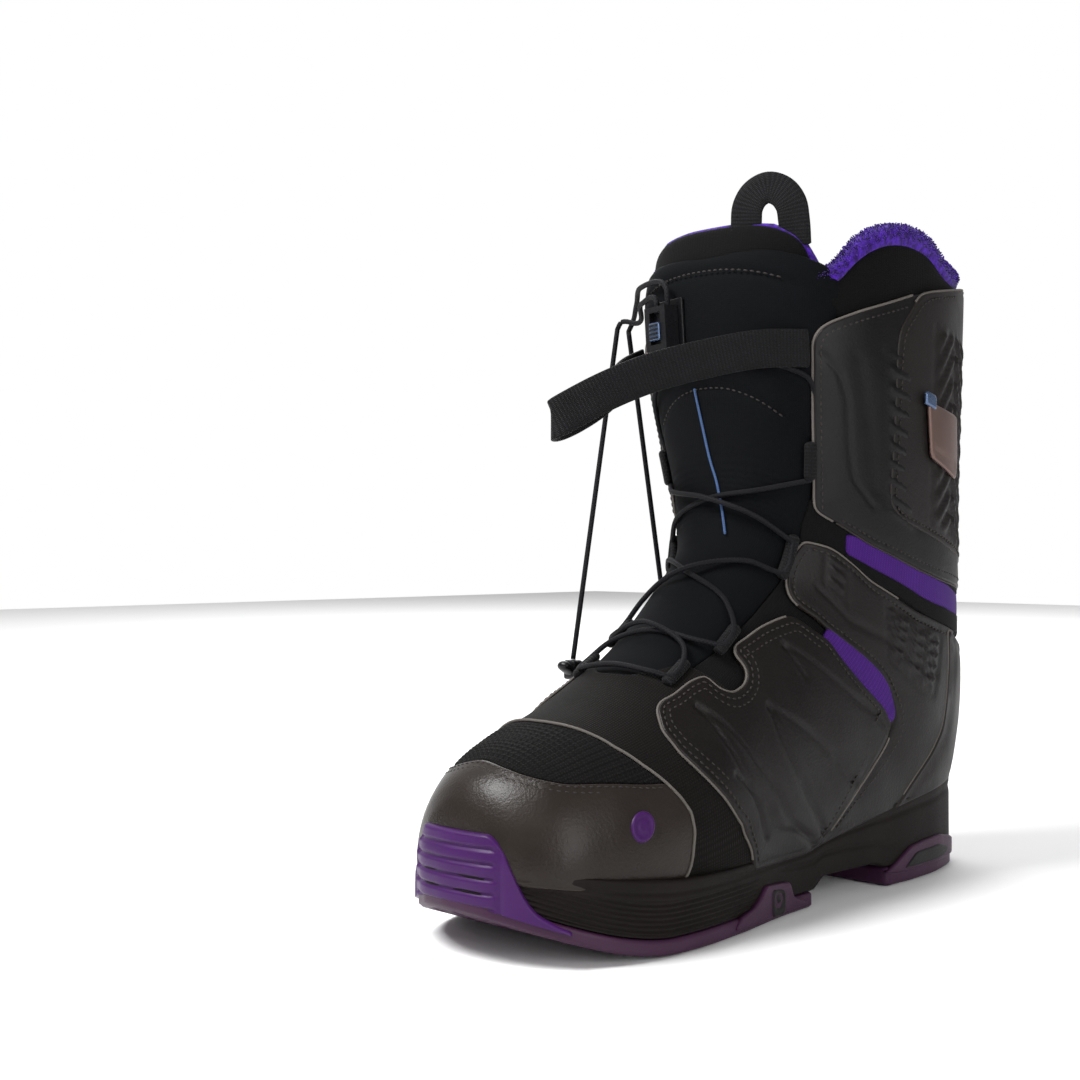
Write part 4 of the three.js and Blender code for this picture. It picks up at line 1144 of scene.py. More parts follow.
def over_sole(points: Points) -> Points:
    """Which points stand clear of the sole's upper edge."""
    return points[:, 2] > feather_z(points[:, 0]) + 1.0


def groove(line: Points, width: float, depth: float) -> Relief:
    """A pressed line along developed coordinates, width and depth in millimetres."""
    fine = resampled(line, 2.0)

    def pressed(points: Points, flat: Points) -> Points:
        """Depth at each point."""
        return -depth * np.exp(-((distance_to(flat, fine) / width) ** 2))

    return pressed


def together(*parts: Relief) -> Relief:
    """The sum of several reliefs."""

    def total(points: Points, flat: Points) -> Points:
        """Their sum at each point."""
        return sum(part(points, flat) for part in parts)

    return total


def quilt(across: float, along: float, depth: float, ring: Points) -> Relief:
    """Small raised diamonds inside a ring.

    Args:
        across: width of a diamond in millimetres.
        along: its height.
        depth: how far it stands out.
        ring: developed outline of the field.
    Returns:
        The relief.
    """

    def raised(points: Points, flat: Points) -> Points:
        """Height at each point."""
        p = np.sin(math.pi * (flat[:, 0] / along + flat[:, 1] / across))
        q = np.sin(math.pi * (flat[:, 0] / along - flat[:, 1] / across))
        mask = smooth_step(np.where(inside_of(flat, ring), distance_to(flat, ring, True), 0),
                           0.2, 1.4)
        return mask * depth * (np.abs(p * q) * 2 - 0.6)

    return raised


def ladder(low: tuple[float, float], high: tuple[float, float], width: float, pitch: float,
           depth: float) -> Relief:
    """A column of raised rounded bars.

    Args:
        low: (u, degrees) of its lower end.
        high: (u, degrees) of its upper end.
        width: width of a bar in millimetres.
        pitch: distance from bar to bar.
        depth: how far a bar stands out.
    Returns:
        The relief.
    """
    a, b = np.array(low) * FLAT, np.array(high) * FLAT
    run = b - a
    length = float(np.linalg.norm(run))
    run = run / length
    side = np.array([-run[1], run[0]])

    def raised(points: Points, flat: Points) -> Points:
        """Height at each point."""
        s, t = (flat - a) @ run, np.abs((flat - a) @ side)
        bar = smooth_step(np.cos(2 * math.pi * s / pitch), -0.2, 0.5)
        inside = smooth_step(s, 0, 2) * smooth_step(length - s, 0, 2)
        border = np.exp(-(((t - width * 0.75) / 0.7) ** 2)) * inside
        return depth * bar * inside * smooth_step(width / 2 - t, 0, 1.2) - 0.4 * border

    return raised


def chevrons(apex: float, reach: float, u0: float, u1: float, pitch: float,
             depth: float) -> Relief:
    """Slanted ribs that meet in a line, on both sides of the boot.

    Args:
        apex: degrees at which they meet.
        reach: how far they run to each side, in millimetres.
        u0: where they start.
        u1: where they end.
        pitch: distance from rib to rib.
        depth: how far a rib stands out.
    Returns:
        The relief.
    """

    def raised(points: Points, flat: Points) -> Points:
        """Height at each point."""
        u, a = (flat / FLAT).T
        off = np.abs(np.minimum(a, 360 - a) - apex) * FLAT[1]
        wave = smooth_step(np.cos(2 * math.pi * (u * FLAT[0] + off * 1.4) / pitch), -0.5, 0.6)
        mask = smooth_step(reach - off, 0, 2.5) * smooth_step(u, u0, u0 + 0.01)
        mask = mask * smooth_step(u1 - u, 0, 0.01) * smooth_step(off, 0.3, 1.3)
        return depth * mask * wave

    return raised


# ------------------------------------------------------------------ small solids
def rounded_box(name: str, size: Sequence[float], radius: float, place: Matrix,
                cut: Optional[tuple] = None) -> bpy.types.Object:
    """A box with rounded edges.

    Args:
        name: piece name.
        size: width, depth and height in millimetres, centred on the place.
        radius: edge radius.
        place: where it goes, in millimetres.
        cut: size and centre of a box that is cut out of it first.
    Returns:
        The piece.
    """
    work = bmesh.new()
    bmesh.ops.create_cube(work, size=1.0)
    bmesh.ops.scale(work, vec=Vector(size), verts=work.verts)
    mesh = bpy.data.meshes.new(name)
    work.to_mesh(mesh)
    work.free()
    piece = bpy.data.objects.new(piece_name(name), mesh)
    bpy.context.scene.collection.objects.link(piece)
    tool = None
    if cut:
        tool = rounded_box(name + "_cut", cut[0], 0.01, Matrix.Translation(Vector(cut[1])))
        tool.data.transform(Matrix.Scale(1000, 4))
        carve = piece.modifiers.new("carve", "BOOLEAN")
        carve.operation, carve.object, carve.solver = "DIFFERENCE", tool, "EXACT"
    bevel = piece.modifiers.new("bevel", "BEVEL")
    bevel.width, bevel.segments, bevel.limit_method = radius, 3, "ANGLE"
    bpy.context.view_layer.update()
    graph = bpy.context.evaluated_depsgraph_get()
    done = bpy.data.meshes.new_from_object(piece.evaluated_get(graph), depsgraph=graph)
    piece.modifiers.clear()
    piece.data = done
    if tool:
        bpy.data.objects.remove(tool)
    done.transform(Matrix.Scale(MM, 4) @ place)
    done.polygons.foreach_set("use_smooth", np.zeros(len(done.polygons), bool))
    flat = done.uv_layers.new(name="Flat") if not done.uv_layers else done.uv_layers[0]
    flat.name = "Flat"
    return piece


def routed(spots: Sequence[tuple]) -> tuple[Points, Points]:
    """A smooth line over the skin.

    Args:
        spots: the u, degrees and height it goes through.
    Returns:
        Its points and the skin's normals along it.
    """
    u, a, off = np.array(spots, float).T
    rows = np.hstack([SKIN.at(u, a, off), SKIN.normal(u, a)])
    line = spline(rows, 1.2)
    return line[:, :3], line[:, 3:]


def sewn(w: Wardrobe, name: str, runs: list, body: Body, slot: str = "smooth_leather") -> None:
    """Lays stitches along a seam.

    Args:
        w: the finishes.
        name: piece name.
        runs: (points, normals) pairs.
        body: the body it moves with.
        slot: the record's material slot.
    """
    piece = grown(name, guide(name + "_line", runs), w.stitches, w.thread,
                  Pitch=2.9 * MM, Length=2.2 * MM, Thickness=0.9 * MM)
    settle(piece, body, slot, w.thread)


def piped(w: Wardrobe, name: str, runs: list, body: Body, radius: float,
          dark: bool = False) -> None:
    """Runs a thin piping along the edge of a panel.

    Args:
        w: the finishes.
        name: piece name.
        runs: (points, normals) pairs.
        body: the body it moves with.
        radius: its radius in millimetres.
        dark: takes the dark finish in place of the pale one.
    """
    finish = w.dark_piping if dark else w.piping
    piece = grown(name, guide(name + "_line", runs), w.pipes, finish, Radius=radius * MM)
    settle(piece, body, "smooth_leather", finish)


# ------------------------------------------------------------------ sole
SOLE_X = (-57, -56, -52, -40, -18, 5, 40, 75, 110, 145, 175, 200, 220, 235, 244, 248, 249)
SOLE_HALF = ((0.5, 0.5), (12, 12), (22, 22), (34, 34), (43, 42), (46, 44), (46, 42), (45, 39),
             (48, 42), (54, 49), (57, 52), (55, 49), (48, 42), (36, 31), (22, 18), (10, 8),
             (0.5, 0.5))


@dataclass
class Sole:
    """Heel and forefoot rubber, midsole and toe rand.

    Attributes:
        lug: heel lug height.
        tread: forefoot rubber thickness.
        arch: clearance under the waist.
        spring: rise at the toe.
        heel_front: where the heel rubber ends.
        forefoot_back: where the forefoot rubber starts.
        rand_proud: how far the toe rand stands out.
    """

    lug: float = 8.0
    tread: float = 6.0
    arch: float = 11.0
    spring: float = 18.0
    heel_front: float = 32.0
    forefoot_back: float = 86.0
    rand_proud: float = 2.2

    def toe_rise(self, x: Points) -> Points:
        """Rise of the sole at x."""
        return self.spring * np.clip((np.asarray(x, float) - 185) / 64, 0, 1) ** 1.8

    def plan(self, x0: float, x1: float, inset: float) -> Points:
        """Closed plan outline between two lengths, seen from above, counter-clockwise."""
        xs = np.unique(np.concatenate([np.arange(x0, x1, 1.5), [x1], x1 - np.array([0.4, 1.0])]))
        half = curve_through(np.array(SOLE_X, float), np.array(SOLE_HALF, float), xs)
        half = np.maximum(half - inset, 0.3)
        lean = 2 * np.clip((xs - 110) / 140, 0, 1) ** 2
        right = np.stack([xs, -half[:, 1] - lean], -1)
        left = np.stack([xs, half[:, 0] - lean], -1)[::-1]
        return resampled(softened(resampled(np.vstack([right, left]), 1.0, True), 1.6), 1.7, True)

    def floor(self, x: Points) -> Points:
        """Underside of the midsole."""
        x = np.asarray(x, float)
        front = self.tread + 0.3 + self.toe_rise(x)
        rise = smooth_step(x, self.heel_front, self.heel_front + 10)
        fall = smooth_step(x, self.forefoot_back - 10, self.forefoot_back)
        return (self.lug + 0.3) * (1 - rise) + self.arch * rise * (1 - fall) + front * fall

    def slab(self, name: str, ring: Points, low: Callable, high: Callable, edge: float,
             wall: Optional[Callable] = None, under: Optional[Callable] = None,
             row: float = 1.0, pitch: float = 4.0) -> bpy.types.Object:
        """A body with an upright wall round a plan outline.

        Args:
            name: piece name.
            ring: plan outline.
            low: height of the underside at x.
            high: height of the top at x.
            edge: edge radius.
            wall: how far the wall steps back at (x, y, z).
            under: how far the underside lifts at (x, y).
            row: spacing of wall rows.
            pitch: size of the triangles of the top and the underside.
        Returns:
            The piece.
        """
        inward = inward_of(ring)
        lo, hi = low(ring[:, 0]), high(ring[:, 0])
        rows = max(int(np.max(hi - lo) / row), 6)
        t = (1 - np.cos(np.linspace(0, math.pi, rows + 1))) / 2 * 0.35 + np.linspace(
            0, 1, rows + 1) * 0.65
        layers = []
        for share in t:
            z = lo + (hi - lo) * share
            near = np.minimum(z - lo, hi - z)
            roll = edge - np.sqrt(np.maximum(edge**2 - (edge - np.minimum(near, edge)) ** 2, 0))
            back = roll + (wall(ring[:, 0], ring[:, 1], z) if wall else 0.0)
            layers.append(np.hstack([ring + inward * np.asarray(back)[:, None], z[:, None]]))
        n = len(ring)
        faces = [(r * n + i, r * n + (i + 1) % n, (r + 1) * n + (i + 1) % n, (r + 1) * n + i)
                 for r in range(rows) for i in range(n)]
        points = [np.vstack(layers)]
        for layer_index, height, flip in ((0, low, True), (rows, high, False)):
            rim = layers[layer_index][:, :2]
            flat, tris = triangulate(rim, pitch)
            inner = flat[n:]
            z = height(inner[:, 0])
            if flip and under is not None:
                z = z + under(inner[:, 0], inner[:, 1]) * smooth_step(
                    distance_to(inner, rim, True), 3.0, 4.5)
            start = sum(len(p) for p in points)
            points.append(np.hstack([inner, z[:, None]]))
            base = layer_index * n
            for tri in tris:
                f = [base + int(i) if i < n else start + int(i) - n for i in tri]
                faces.append(tuple(f[::-1] if flip else f))
        cloud = np.vstack(points)
        piece = new_piece(name, cloud, faces)
        set_flat(piece, cloud[:, [0, 2]])
        outward(piece)
        return piece

    def lugs(self, depth: float, pitch: float) -> Callable:
        """A tread of blocks with channels between them."""

        def lifted(x: Points, y: Points) -> Points:
            """How far the underside lifts at x and y."""
            p = np.abs(np.sin(math.pi * (x + np.abs(y) * 0.35) / pitch))
            q = np.abs(np.sin(math.pi * y / (pitch * 1.3)))
            return depth * (1 - smooth_step(np.minimum(p, q), 0.16, 0.36))

        return lifted

    def midsole_wall(self, x: Points, y: Points, z: Points) -> Points:
        """Fine lengthwise grooves low on the forefoot and one line along the top."""
        low = self.floor(x)
        share = (z - low) / np.maximum(feather_z(x) - low, 1)
        band = smooth_step(x, 128, 138) * (1 - smooth_step(share, 0.62, 0.68))
        ribs = 0.5 - 0.5 * np.cos(2 * math.pi * (z - low) / 1.9)
        line = np.exp(-(((share - 0.78) / 0.05) ** 2))
        waist = smooth_step(x, 20, 45) * (1 - smooth_step(x, 95, 125))
        sweep = np.exp(-(((share - 0.45 - 0.3 * (x - 60) / 80) / 0.05) ** 2)) * waist
        return 0.55 * band * ribs + 0.5 * line + 0.5 * sweep

    def rand_wall(self, x: Points, y: Points, z: Points) -> Points:
        """Crosswise grooves on the front of the toe rand."""
        front = smooth_step(x, 238.5, 240.5) * (1 - smooth_step(np.abs(y + 2), 21, 24))
        share = (z - 12) / 32
        bars = np.exp(-((((share * 6.0) % 1.0 - 0.5) / 0.13) ** 2))
        inside = smooth_step(z, 12, 14) * (1 - smooth_step(z, 42, 44))
        seam = np.exp(-(((np.abs(y + 2) - 24.5) / 0.8) ** 2)) * smooth_step(x, 232, 236)
        return 1.1 * bars * front * inside + 0.8 * seam * inside

    def dress(self, w: Wardrobe) -> None:
        """Builds and dresses every part of the sole."""
        heel = self.slab("outsole_heel", self.plan(-57, self.heel_front, 0.0),
                         lambda x: np.zeros_like(x), lambda x: np.full_like(x, self.lug), 1.0,
                         under=self.lugs(2.6, 12), pitch=2.4)
        settle(heel, Body.FOOT, "purple_rubber", w.tread)
        fore = self.slab("outsole_forefoot", self.plan(self.forefoot_back, 249, 0.0),
                         self.toe_rise, lambda x: self.toe_rise(x) + self.tread, 1.0,
                         under=self.lugs(2.4, 13), pitch=2.6)
        settle(fore, Body.FOOT, "purple_rubber", w.tread)
        mid = self.slab("midsole", self.plan(-56.6, 248.0, 0.5), self.floor, feather_z, 1.2,
                        wall=self.midsole_wall, row=0.42)
        settle(mid, Body.FOOT, "midsole_foam", w.foam)
        self.rand(w)
        for side in Side:
            self.window(w, side)
        for side in Side:
            self.heel_line(w, side)

    def wall_at(self, x: Points, side: Side) -> Points:
        """How far out the wall of one side stands at x."""
        half = curve_through(np.array(SOLE_X, float), np.array(SOLE_HALF, float),
                             np.asarray(x, float))
        lean = 2 * np.clip((np.asarray(x, float) - 110) / 140, 0, 1) ** 2
        y = half[..., 0] if side is Side.LATERAL else half[..., 1]
        return side.value * y - lean

    def lift_wall(self, side: Side) -> Callable:
        """Map from (x, z) to points and normals on the sole's side wall."""

        def lift(flat: Points) -> tuple[Points, Points]:
            """Points of the wall and its outward directions."""
            x, z = flat.T
            slope = self.wall_at(x + 0.5, side) - self.wall_at(x - 0.5, side)
            out = unit(np.stack([-slope, np.ones_like(x), np.zeros_like(x)], -1)) * side.value
            return np.stack([x, self.wall_at(x, side), z], -1), out

        return lift

    def plate(self, name: str, outline: Sequence, side: Side, slot: str,
              finish: bpy.types.Material, **sizes: object) -> None:
        """A thin plate on a side wall.

        Args:
            name: piece name, without its side.
            outline: (x, z) pairs in millimetres.
            side: which wall it lies on.
            slot: the record's material slot.
            finish: its material.
            sizes: fields of its Cut.
        """
        cut = Cut(np.array(outline, float), lift=self.lift_wall(side), **sizes)
        piece = cut.build(f"{name}_{side.tag}")
        outward(piece)
        settle(piece, Body.FOOT, slot, finish)

    def window(self, w: Wardrobe, side: Side) -> None:
        """The purple surround at the ball of the foot and its black insert."""
        middle_x, middle_z = 116.2, 8.2

        def boss(points: Points, flat: Points) -> Points:
            """A sunk round field with a raised middle."""
            dx, dz = flat[:, 0] - middle_x, flat[:, 1] - middle_z
            field_ = smooth_step(4.4 - np.hypot(dx, dz * 1.1), 0, 1.0)
            return 1.1 * smooth_step(1.9 - np.hypot(dx, dz), 0, 0.8) - 0.9 * field_

        self.plate("sole_window", ((146, 6.4), (136, 8.4), (130, 11.5), (126, 15.2),
                                   (116, 14.6), (106, 13.6), (103, 7), (96, 4.8), (90, 2.0),
                                   (150, 2.0)),
                   side, "purple_rubber", w.tread, base=1.1, thick=2.6, pitch=1.6, corner=1.2,
                   edge=0.6)
        self.plate("sole_insert", ((121.4, 13.0), (111.0, 11.4), (111.0, 1.6), (121.4, 1.8)),
                   side, "midsole_foam", w.black_rubber, base=1.7, thick=2.6, pitch=1.4,
                   corner=1.0, edge=0.5, relief=boss)

    def heel_line(self, w: Wardrobe, side: Side) -> None:
        """The purple wave along the heel, with its dark insert."""
        self.plate("heel_wave", ((34, 6.0), (26, 9.5), (14, 15.5), (2, 16.6), (-14, 17.0),
                                 (-30, 14.0), (-44, 9.0), (-50, 6.0), (-44, 5.0), (-10, 5.0),
                                 (24, 5.0)),
                   side, "purple_rubber", w.tread, base=0.9, thick=2.2, pitch=2.0, corner=1.6,
                   edge=0.6)
        self.plate("heel_insert", ((20, 6.4), (10, 12.4), (-12, 13.0), (-26, 9.5), (-20, 6.4)),
                   side, "midsole_foam", w.black_rubber, base=1.4, thick=2.0, pitch=2.0,
                   corner=1.4, edge=0.5)

    def rand(self, w: Wardrobe) -> None:
        """The toe rand: a proud band whose ends sweep back to the ground."""
        plan = self.plan(150, 249, -self.rand_proud)
        ring = plan[plan[:, 0] > 205]
        turn = np.argsort(np.arctan2(ring[:, 1] + 2, ring[:, 0] - 190))
        arc = resampled(ring[turn], 1.0)
        wing_x = (246.5, 244.6, 242.8, 241.4, 238.6, 233.6, 226.0, 215.0)
        wing_z = (47.0, 43.9, 37.1, 29.7, 20.0, 15.0, 11.0, 5.0)
        step = np.gradient(arc, axis=0)
        inward = unit(np.stack([-step[:, 1], step[:, 0]], -1))
        x = arc[:, 0]
        top = np.interp(-x, [-v for v in wing_x], wing_z)
        top = np.where(np.abs(arc[:, 1] + 2) < 21, 46.5, np.minimum(top + 1.0, 46.5))
        top = np.convolve(np.pad(top, 4, mode="edge"), np.ones(9) / 9, "valid")
        low = self.toe_rise(x) + self.tread - 3.0
        low = np.minimum(low, top - 1.0)
        keep = top - low > 1.2
        arc, inward, x, top, low = (v[keep] for v in (arc, inward, x, top, low))
        rows = 48
        outer, inner = [], []
        for k in range(rows + 1):
            share = k / rows
            z = low + (top - low) * share
            near = np.minimum(z - low + 1.6, top - z)
            roll = 1.5 - np.sqrt(np.maximum(2.25 - (1.5 - np.minimum(near, 1.5)) ** 2, 0))
            tip = smooth_step(z, 34, 47) * 1.6
            back = roll + tip + self.rand_wall(x, arc[:, 1], z)
            outer.append(np.hstack([arc + inward * back[:, None], z[:, None]]))
            inner.append(np.hstack([arc + inward * 5.5, z[:, None]]))
        grid = np.array(outer + inner[::-1])
        m, n = grid.shape[:2]
        faces = [(r * n + i, r * n + i + 1, ((r + 1) % m) * n + i + 1, ((r + 1) % m) * n + i)
                 for r in range(m) for i in range(n - 1)]
        faces.append(tuple(r * n for r in range(m)))
        faces.append(tuple(r * n + n - 1 for r in range(m - 1, -1, -1)))
        piece = new_piece("toe_bumper", grid.reshape(-1, 3), faces)
        set_flat(piece, grid.reshape(-1, 3)[:, 1:])
        outward(piece)
        settle(piece, Body.FOOT, "purple_rubber", w.rubber)


# ------------------------------------------------------------------ lower upper
@dataclass
class LowerUpper:
    """The panels between the sole and the ankle.

    Attributes:
        lap: how much a panel stands over the one below it.
        panel: panel thickness.
        piping: radius of the pale edge.
    """

    lap: float = 0.7
    panel: float = 2.0
    piping: float = 0.62

    def vamp(self, w: Wardrobe) -> None:
        """Woven forepart from the toe seam to the throat."""
        line = np.vstack([
            ua((0.183, 0.0)), side_line(TOE_PIPING), side_line(under_feather(186, 120)),
            ua((0.44, 80), (0.41, 55), (0.385, 34), (0.375, 24), (0.345, 17), (0.322, 8)),
        ])
        cut = Cut(both_sides(line), base=0.0, thick=self.panel, edge=0.6)
        settle(cut.build("vamp"), Body.FOOT, "upper_textile", w.vamp)

    def toe(self, w: Wardrobe) -> None:
        """Leather toe cap, ribbed mesh above it and their seams."""
        edge = ua((0.094, 0), (0.092, 14), (0.104, 33), (0.13, 45), (0.165, 51), (0.203, 56),
                  (0.256, 62))
        piping = ua((0.188, 0), (0.190, 8), (0.195, 16), (0.203, 26), (0.215, 38), (0.236, 51),
                    (0.256, 61), (0.273, 70), (0.284, 77), (0.287, 84), (0.284, 90),
                    (0.276, 95), (0.262, 101))
        sole_edge = side_line(under_feather(180, 245.5, 5.0))
        cap = np.vstack([spline(edge, 2.0), spline(piping[6:], 2.0), sole_edge,
                         ua((0.004, 60), (0.004, 20))])
        cap_cut = Cut(both_sides(cap), base=self.lap, thick=self.panel + 0.6, corner=2.0,
                      crown=0.5, seams=(2.6,))
        settle(cap_cut.build("toe_cap"), Body.FOOT, "smooth_leather", w.toe_leather)
        mesh_line = np.vstack([spline(piping[:7], 2.0), spline(edge, 2.0)[::-1]])
        mesh_cut = Cut(both_sides(mesh_line), base=0.25, thick=self.panel, corner=1.5, pitch=0.95,
                       relief=self.ribs(2.6, 0.45))
        settle(mesh_cut.build("toe_mesh"), Body.FOOT, "toe_mesh", w.mesh)
        for inset, label in ((1.6, "a"), (4.2, "b")):
            runs = cap_cut.edge_line(inset, -0.05, lambda q: (q[:, 2] > 60) & (q[:, 0] > 150))
            sewn(w, f"toe_cap_stitch_{label}", runs, Body.FOOT)
        seam = both_sides(resampled(piping, 1.5))
        points, normals = SKIN.lift(seam)
        good = over_sole(points)
        first = int(np.argmax(good))
        last = len(good) - int(np.argmax(good[::-1]))
        run = (points[first:last] + normals[first:last] * 0.75, normals[first:last])
        piped(w, "toe_piping", [run], Body.FOOT, self.piping)
        self.emblem(w)

    def ribs(self, pitch: float, depth: float) -> Relief:
        """Ribs across the toe."""

        def raised(points: Points, flat: Points) -> Points:
            """Height at each point."""
            wave = np.cos(2 * math.pi * flat[:, 0] / pitch)
            weft = np.cos(2 * math.pi * flat[:, 1] / 3.4)
            return depth * (0.7 * wave + 0.3 * weft)

        return raised

    def emblem(self, w: Wardrobe) -> None:
        """A plain raised disc in place of the badge."""
        middle = ua((0.213, 75.5))[0]
        origin = SKIN.lift(middle[None])[0]
        stretch = np.array([np.linalg.norm(SKIN.lift(middle[None] + way)[0] - origin)
                            for way in np.eye(2)])
        turns = np.linspace(0, 2 * math.pi, 60, endpoint=False)
        ring = middle + np.stack([np.cos(turns), np.sin(turns)], -1) * 5.6 / stretch

        def ringed(points: Points, flat: Points) -> Points:
            """A round groove inside the rim."""
            away = np.linalg.norm((flat - middle) * stretch, axis=1)
            return -0.45 * np.exp(-(((away - 3.2) / 0.6) ** 2))

        cut = Cut(ring, base=1.9, thick=1.6, pitch=1.0, corner=0.6, edge=0.8, relief=ringed)
        settle(cut.build("toe_disc"), Body.FOOT, "purple_stretch", w.rubber)

    def quarter(self, w: Wardrobe, side: Side) -> None:
        """Side panel with the scalloped throat edge and pressed V folds."""
        tag = side.tag
        sign = side.value
        outline = (*QUARTER_TOP, *QUARTER_FRONT, *under_feather(133, 88), *QUARTER_REAR,
                   (29.5, 73.5), *STRIP_INNER)
        ring = panel_ring(outline, side)
        folds = (
            ((.342, 43), (.352, 59), (.367, 74), (.381, 86), (.392, 94)),
            ((.342, 43), (.368, 59), (.392, 75), (.422, 90), (.452, 106)),
            ((.439, 64), (.439, 75), (.448, 88), (.458, 94), (.468, 112)),
            ((.439, 64), (.468, 77), (.491, 89), (.508, 94)),
            ((.497, 53), (.497, 60), (.499, 66)),
            ((.497, 53), (.518, 65), (.54, 79), (.564, 91)),
            ((.356, 74), (.397, 89), (.437, 98), (.458, 115)),
        )
        relief = together(*(groove(ua(*((u, a * sign) for u, a in line)), 1.0, 1.0)
                            for line in folds))
        cut = Cut(ring, base=2 * self.lap, thick=self.panel + 0.8, corner=1.8, pitch=1.15,
                  crown=0.6, seams=(2.4,), relief=relief)
        settle(cut.build(f"quarter_{tag}"), Body.FOOT, "smooth_leather", w.leather)
        sewn(w, f"quarter_stitch_{tag}", cut.edge_line(2.4, 0.05, over_sole), Body.FOOT)
        inner = cut.edge_line(5.0, 0.1, lambda q: over_sole(q) & (q[:, 0] > 78)
                              & (q[:, 2] > 60))
        sewn(w, f"quarter_stitch2_{tag}", inner, Body.FOOT)
        pale = cut.edge_line(-0.15, -0.7, lambda q: over_sole(q) & (
            (q[:, 0] > 92) | (q[:, 2] < 66)))
        piped(w, f"quarter_piping_{tag}", pale, Body.FOOT, self.piping * 0.85)

    def gusset(self, w: Wardrobe, side: Side) -> None:
        """Purple stretch strip between the quarter and the ankle strap."""
        tag = side.tag
        outline = (*flipped(shift(STRIP_INNER, 3.0, -3.0)), (31, 70), (24, 74), (24, 80),
                   *flipped(shift(STRIP_OUTER[:4], -3.0, 3.0)))
        ring = panel_ring(outline, side)
        cut = Cut(ring, base=0.35, thick=self.panel, corner=1.5, crown=0.7)
        settle(cut.build(f"gusset_{tag}"), Body.FOOT, "purple_stretch", w.stretch)

    def strap(self, w: Wardrobe, side: Side) -> None:
        """The panel that wraps the ankle and runs down to the waist of the sole."""
        tag = side.tag
        sign = side.value
        outline = ((-24, 110), *STRAP_TOP[1:], *STRAP_FRONT, (75, 119), *STRIP_OUTER,
                   *flipped(shift(QUARTER_REAR, 7, -4)), *under_feather(88, 22),
                   *flipped(shift(COUNTER_EDGE, -7, -3)))
        ring = panel_ring(outline, side)
        patch = ua((.654, 79 * sign), (.689, 104 * sign), (.633, 103 * sign), (.612, 84 * sign))
        bars = ladder((.607, 59 * sign), (.65, 57 * sign), 6.0, 4.8, 0.9)
        relief = together(
            quilt(3.4, 3.4, 0.8, resampled(patch, 2.0, True)), bars,
            groove(resampled(np.vstack([patch, patch[:1]]), 2.0), 0.9, 0.6),
            groove(ua((.598, 52 * sign), (.6, 66 * sign), (.625, 82 * sign), (.652, 104 * sign)),
                   1.0, 0.6),
        )
        cut = Cut(ring, base=self.lap, thick=self.panel + 0.4, corner=1.8, pitch=1.15, crown=0.5,
                  seams=(2.4,), relief=relief)
        settle(cut.build(f"ankle_strap_{tag}"), Body.FOOT, "smooth_leather", w.leather)
        sewn(w, f"strap_stitch_{tag}", cut.edge_line(2.4, 0.05, lambda q: over_sole(q)
             & (q[:, 0] > -14)), Body.FOOT)
        pale = cut.edge_line(-0.15, -0.8, lambda q: (q[:, 2] > 124) & (q[:, 0] > 30))
        piped(w, f"strap_piping_{tag}", pale, Body.FOOT, self.piping * 0.85)
        low = cut.edge_line(-0.15, -0.8, lambda q: over_sole(q) & (q[:, 2] < 74)
                            & (q[:, 0] > 14))
        piped(w, f"strap_piping_low_{tag}", low, Body.FOOT,
              self.piping * 0.8)

    def counter(self, w: Wardrobe) -> None:
        """Moulded heel counter wrapping the back."""
        edge = side_line((*COUNTER_EDGE, *under_feather(31, -55)), Side.LATERAL)
        top = ua((0.0, 180.0))
        top[0, 0] = side_line(((-10, 113), (-57, 100)), Side.LATERAL)[-1, 0]
        line = np.vstack([top, edge])
        fold = side_line(shift(COUNTER_EDGE, -7, 0))
        relief = together(groove(fold, 1.0, 0.6), groove(other(fold, True), 1.0, 0.6))
        cut = Cut(both_sides(line, True), base=2 * self.lap, thick=self.panel + 0.8, corner=2.0,
                  pitch=2.0, crown=0.8, seams=(2.4,), relief=relief)
        settle(cut.build("heel_counter"), Body.FOOT, "smooth_leather", w.stay)
        pale = cut.edge_line(-0.15, -0.7, lambda q: over_sole(q) & (q[:, 0] > -16))
        piped(w, "counter_piping", pale, Body.FOOT, self.piping * 0.8)

    def lining(self, w: Wardrobe) -> None:
        """Dark layer behind every gap of the lower boot."""
        line = np.vstack([
            side_line(STRAP_TOP), side_line(((72, 150), (79, 150))),
            ua((0.58, 40), (0.5, 38), (0.43, 34), (0.36, 27), (0.325, 22)),
            side_line(under_feather(165, -56, 2.0)),
        ])
        cut = Cut(both_sides(line, True), base=-1.9, thick=1.8, corner=1.0, pitch=4.0, edge=0.4)
        settle(cut.build("shell_foot"), Body.FOOT, "upper_textile", w.lining)

    def dress(self, w: Wardrobe) -> None:
        """Builds the lower boot."""
        self.lining(w)
        self.vamp(w)
        self.toe(w)
        for side in Side:
            self.gusset(w, side)
            self.strap(w, side)
            self.quarter(w, side)
        self.counter(w)


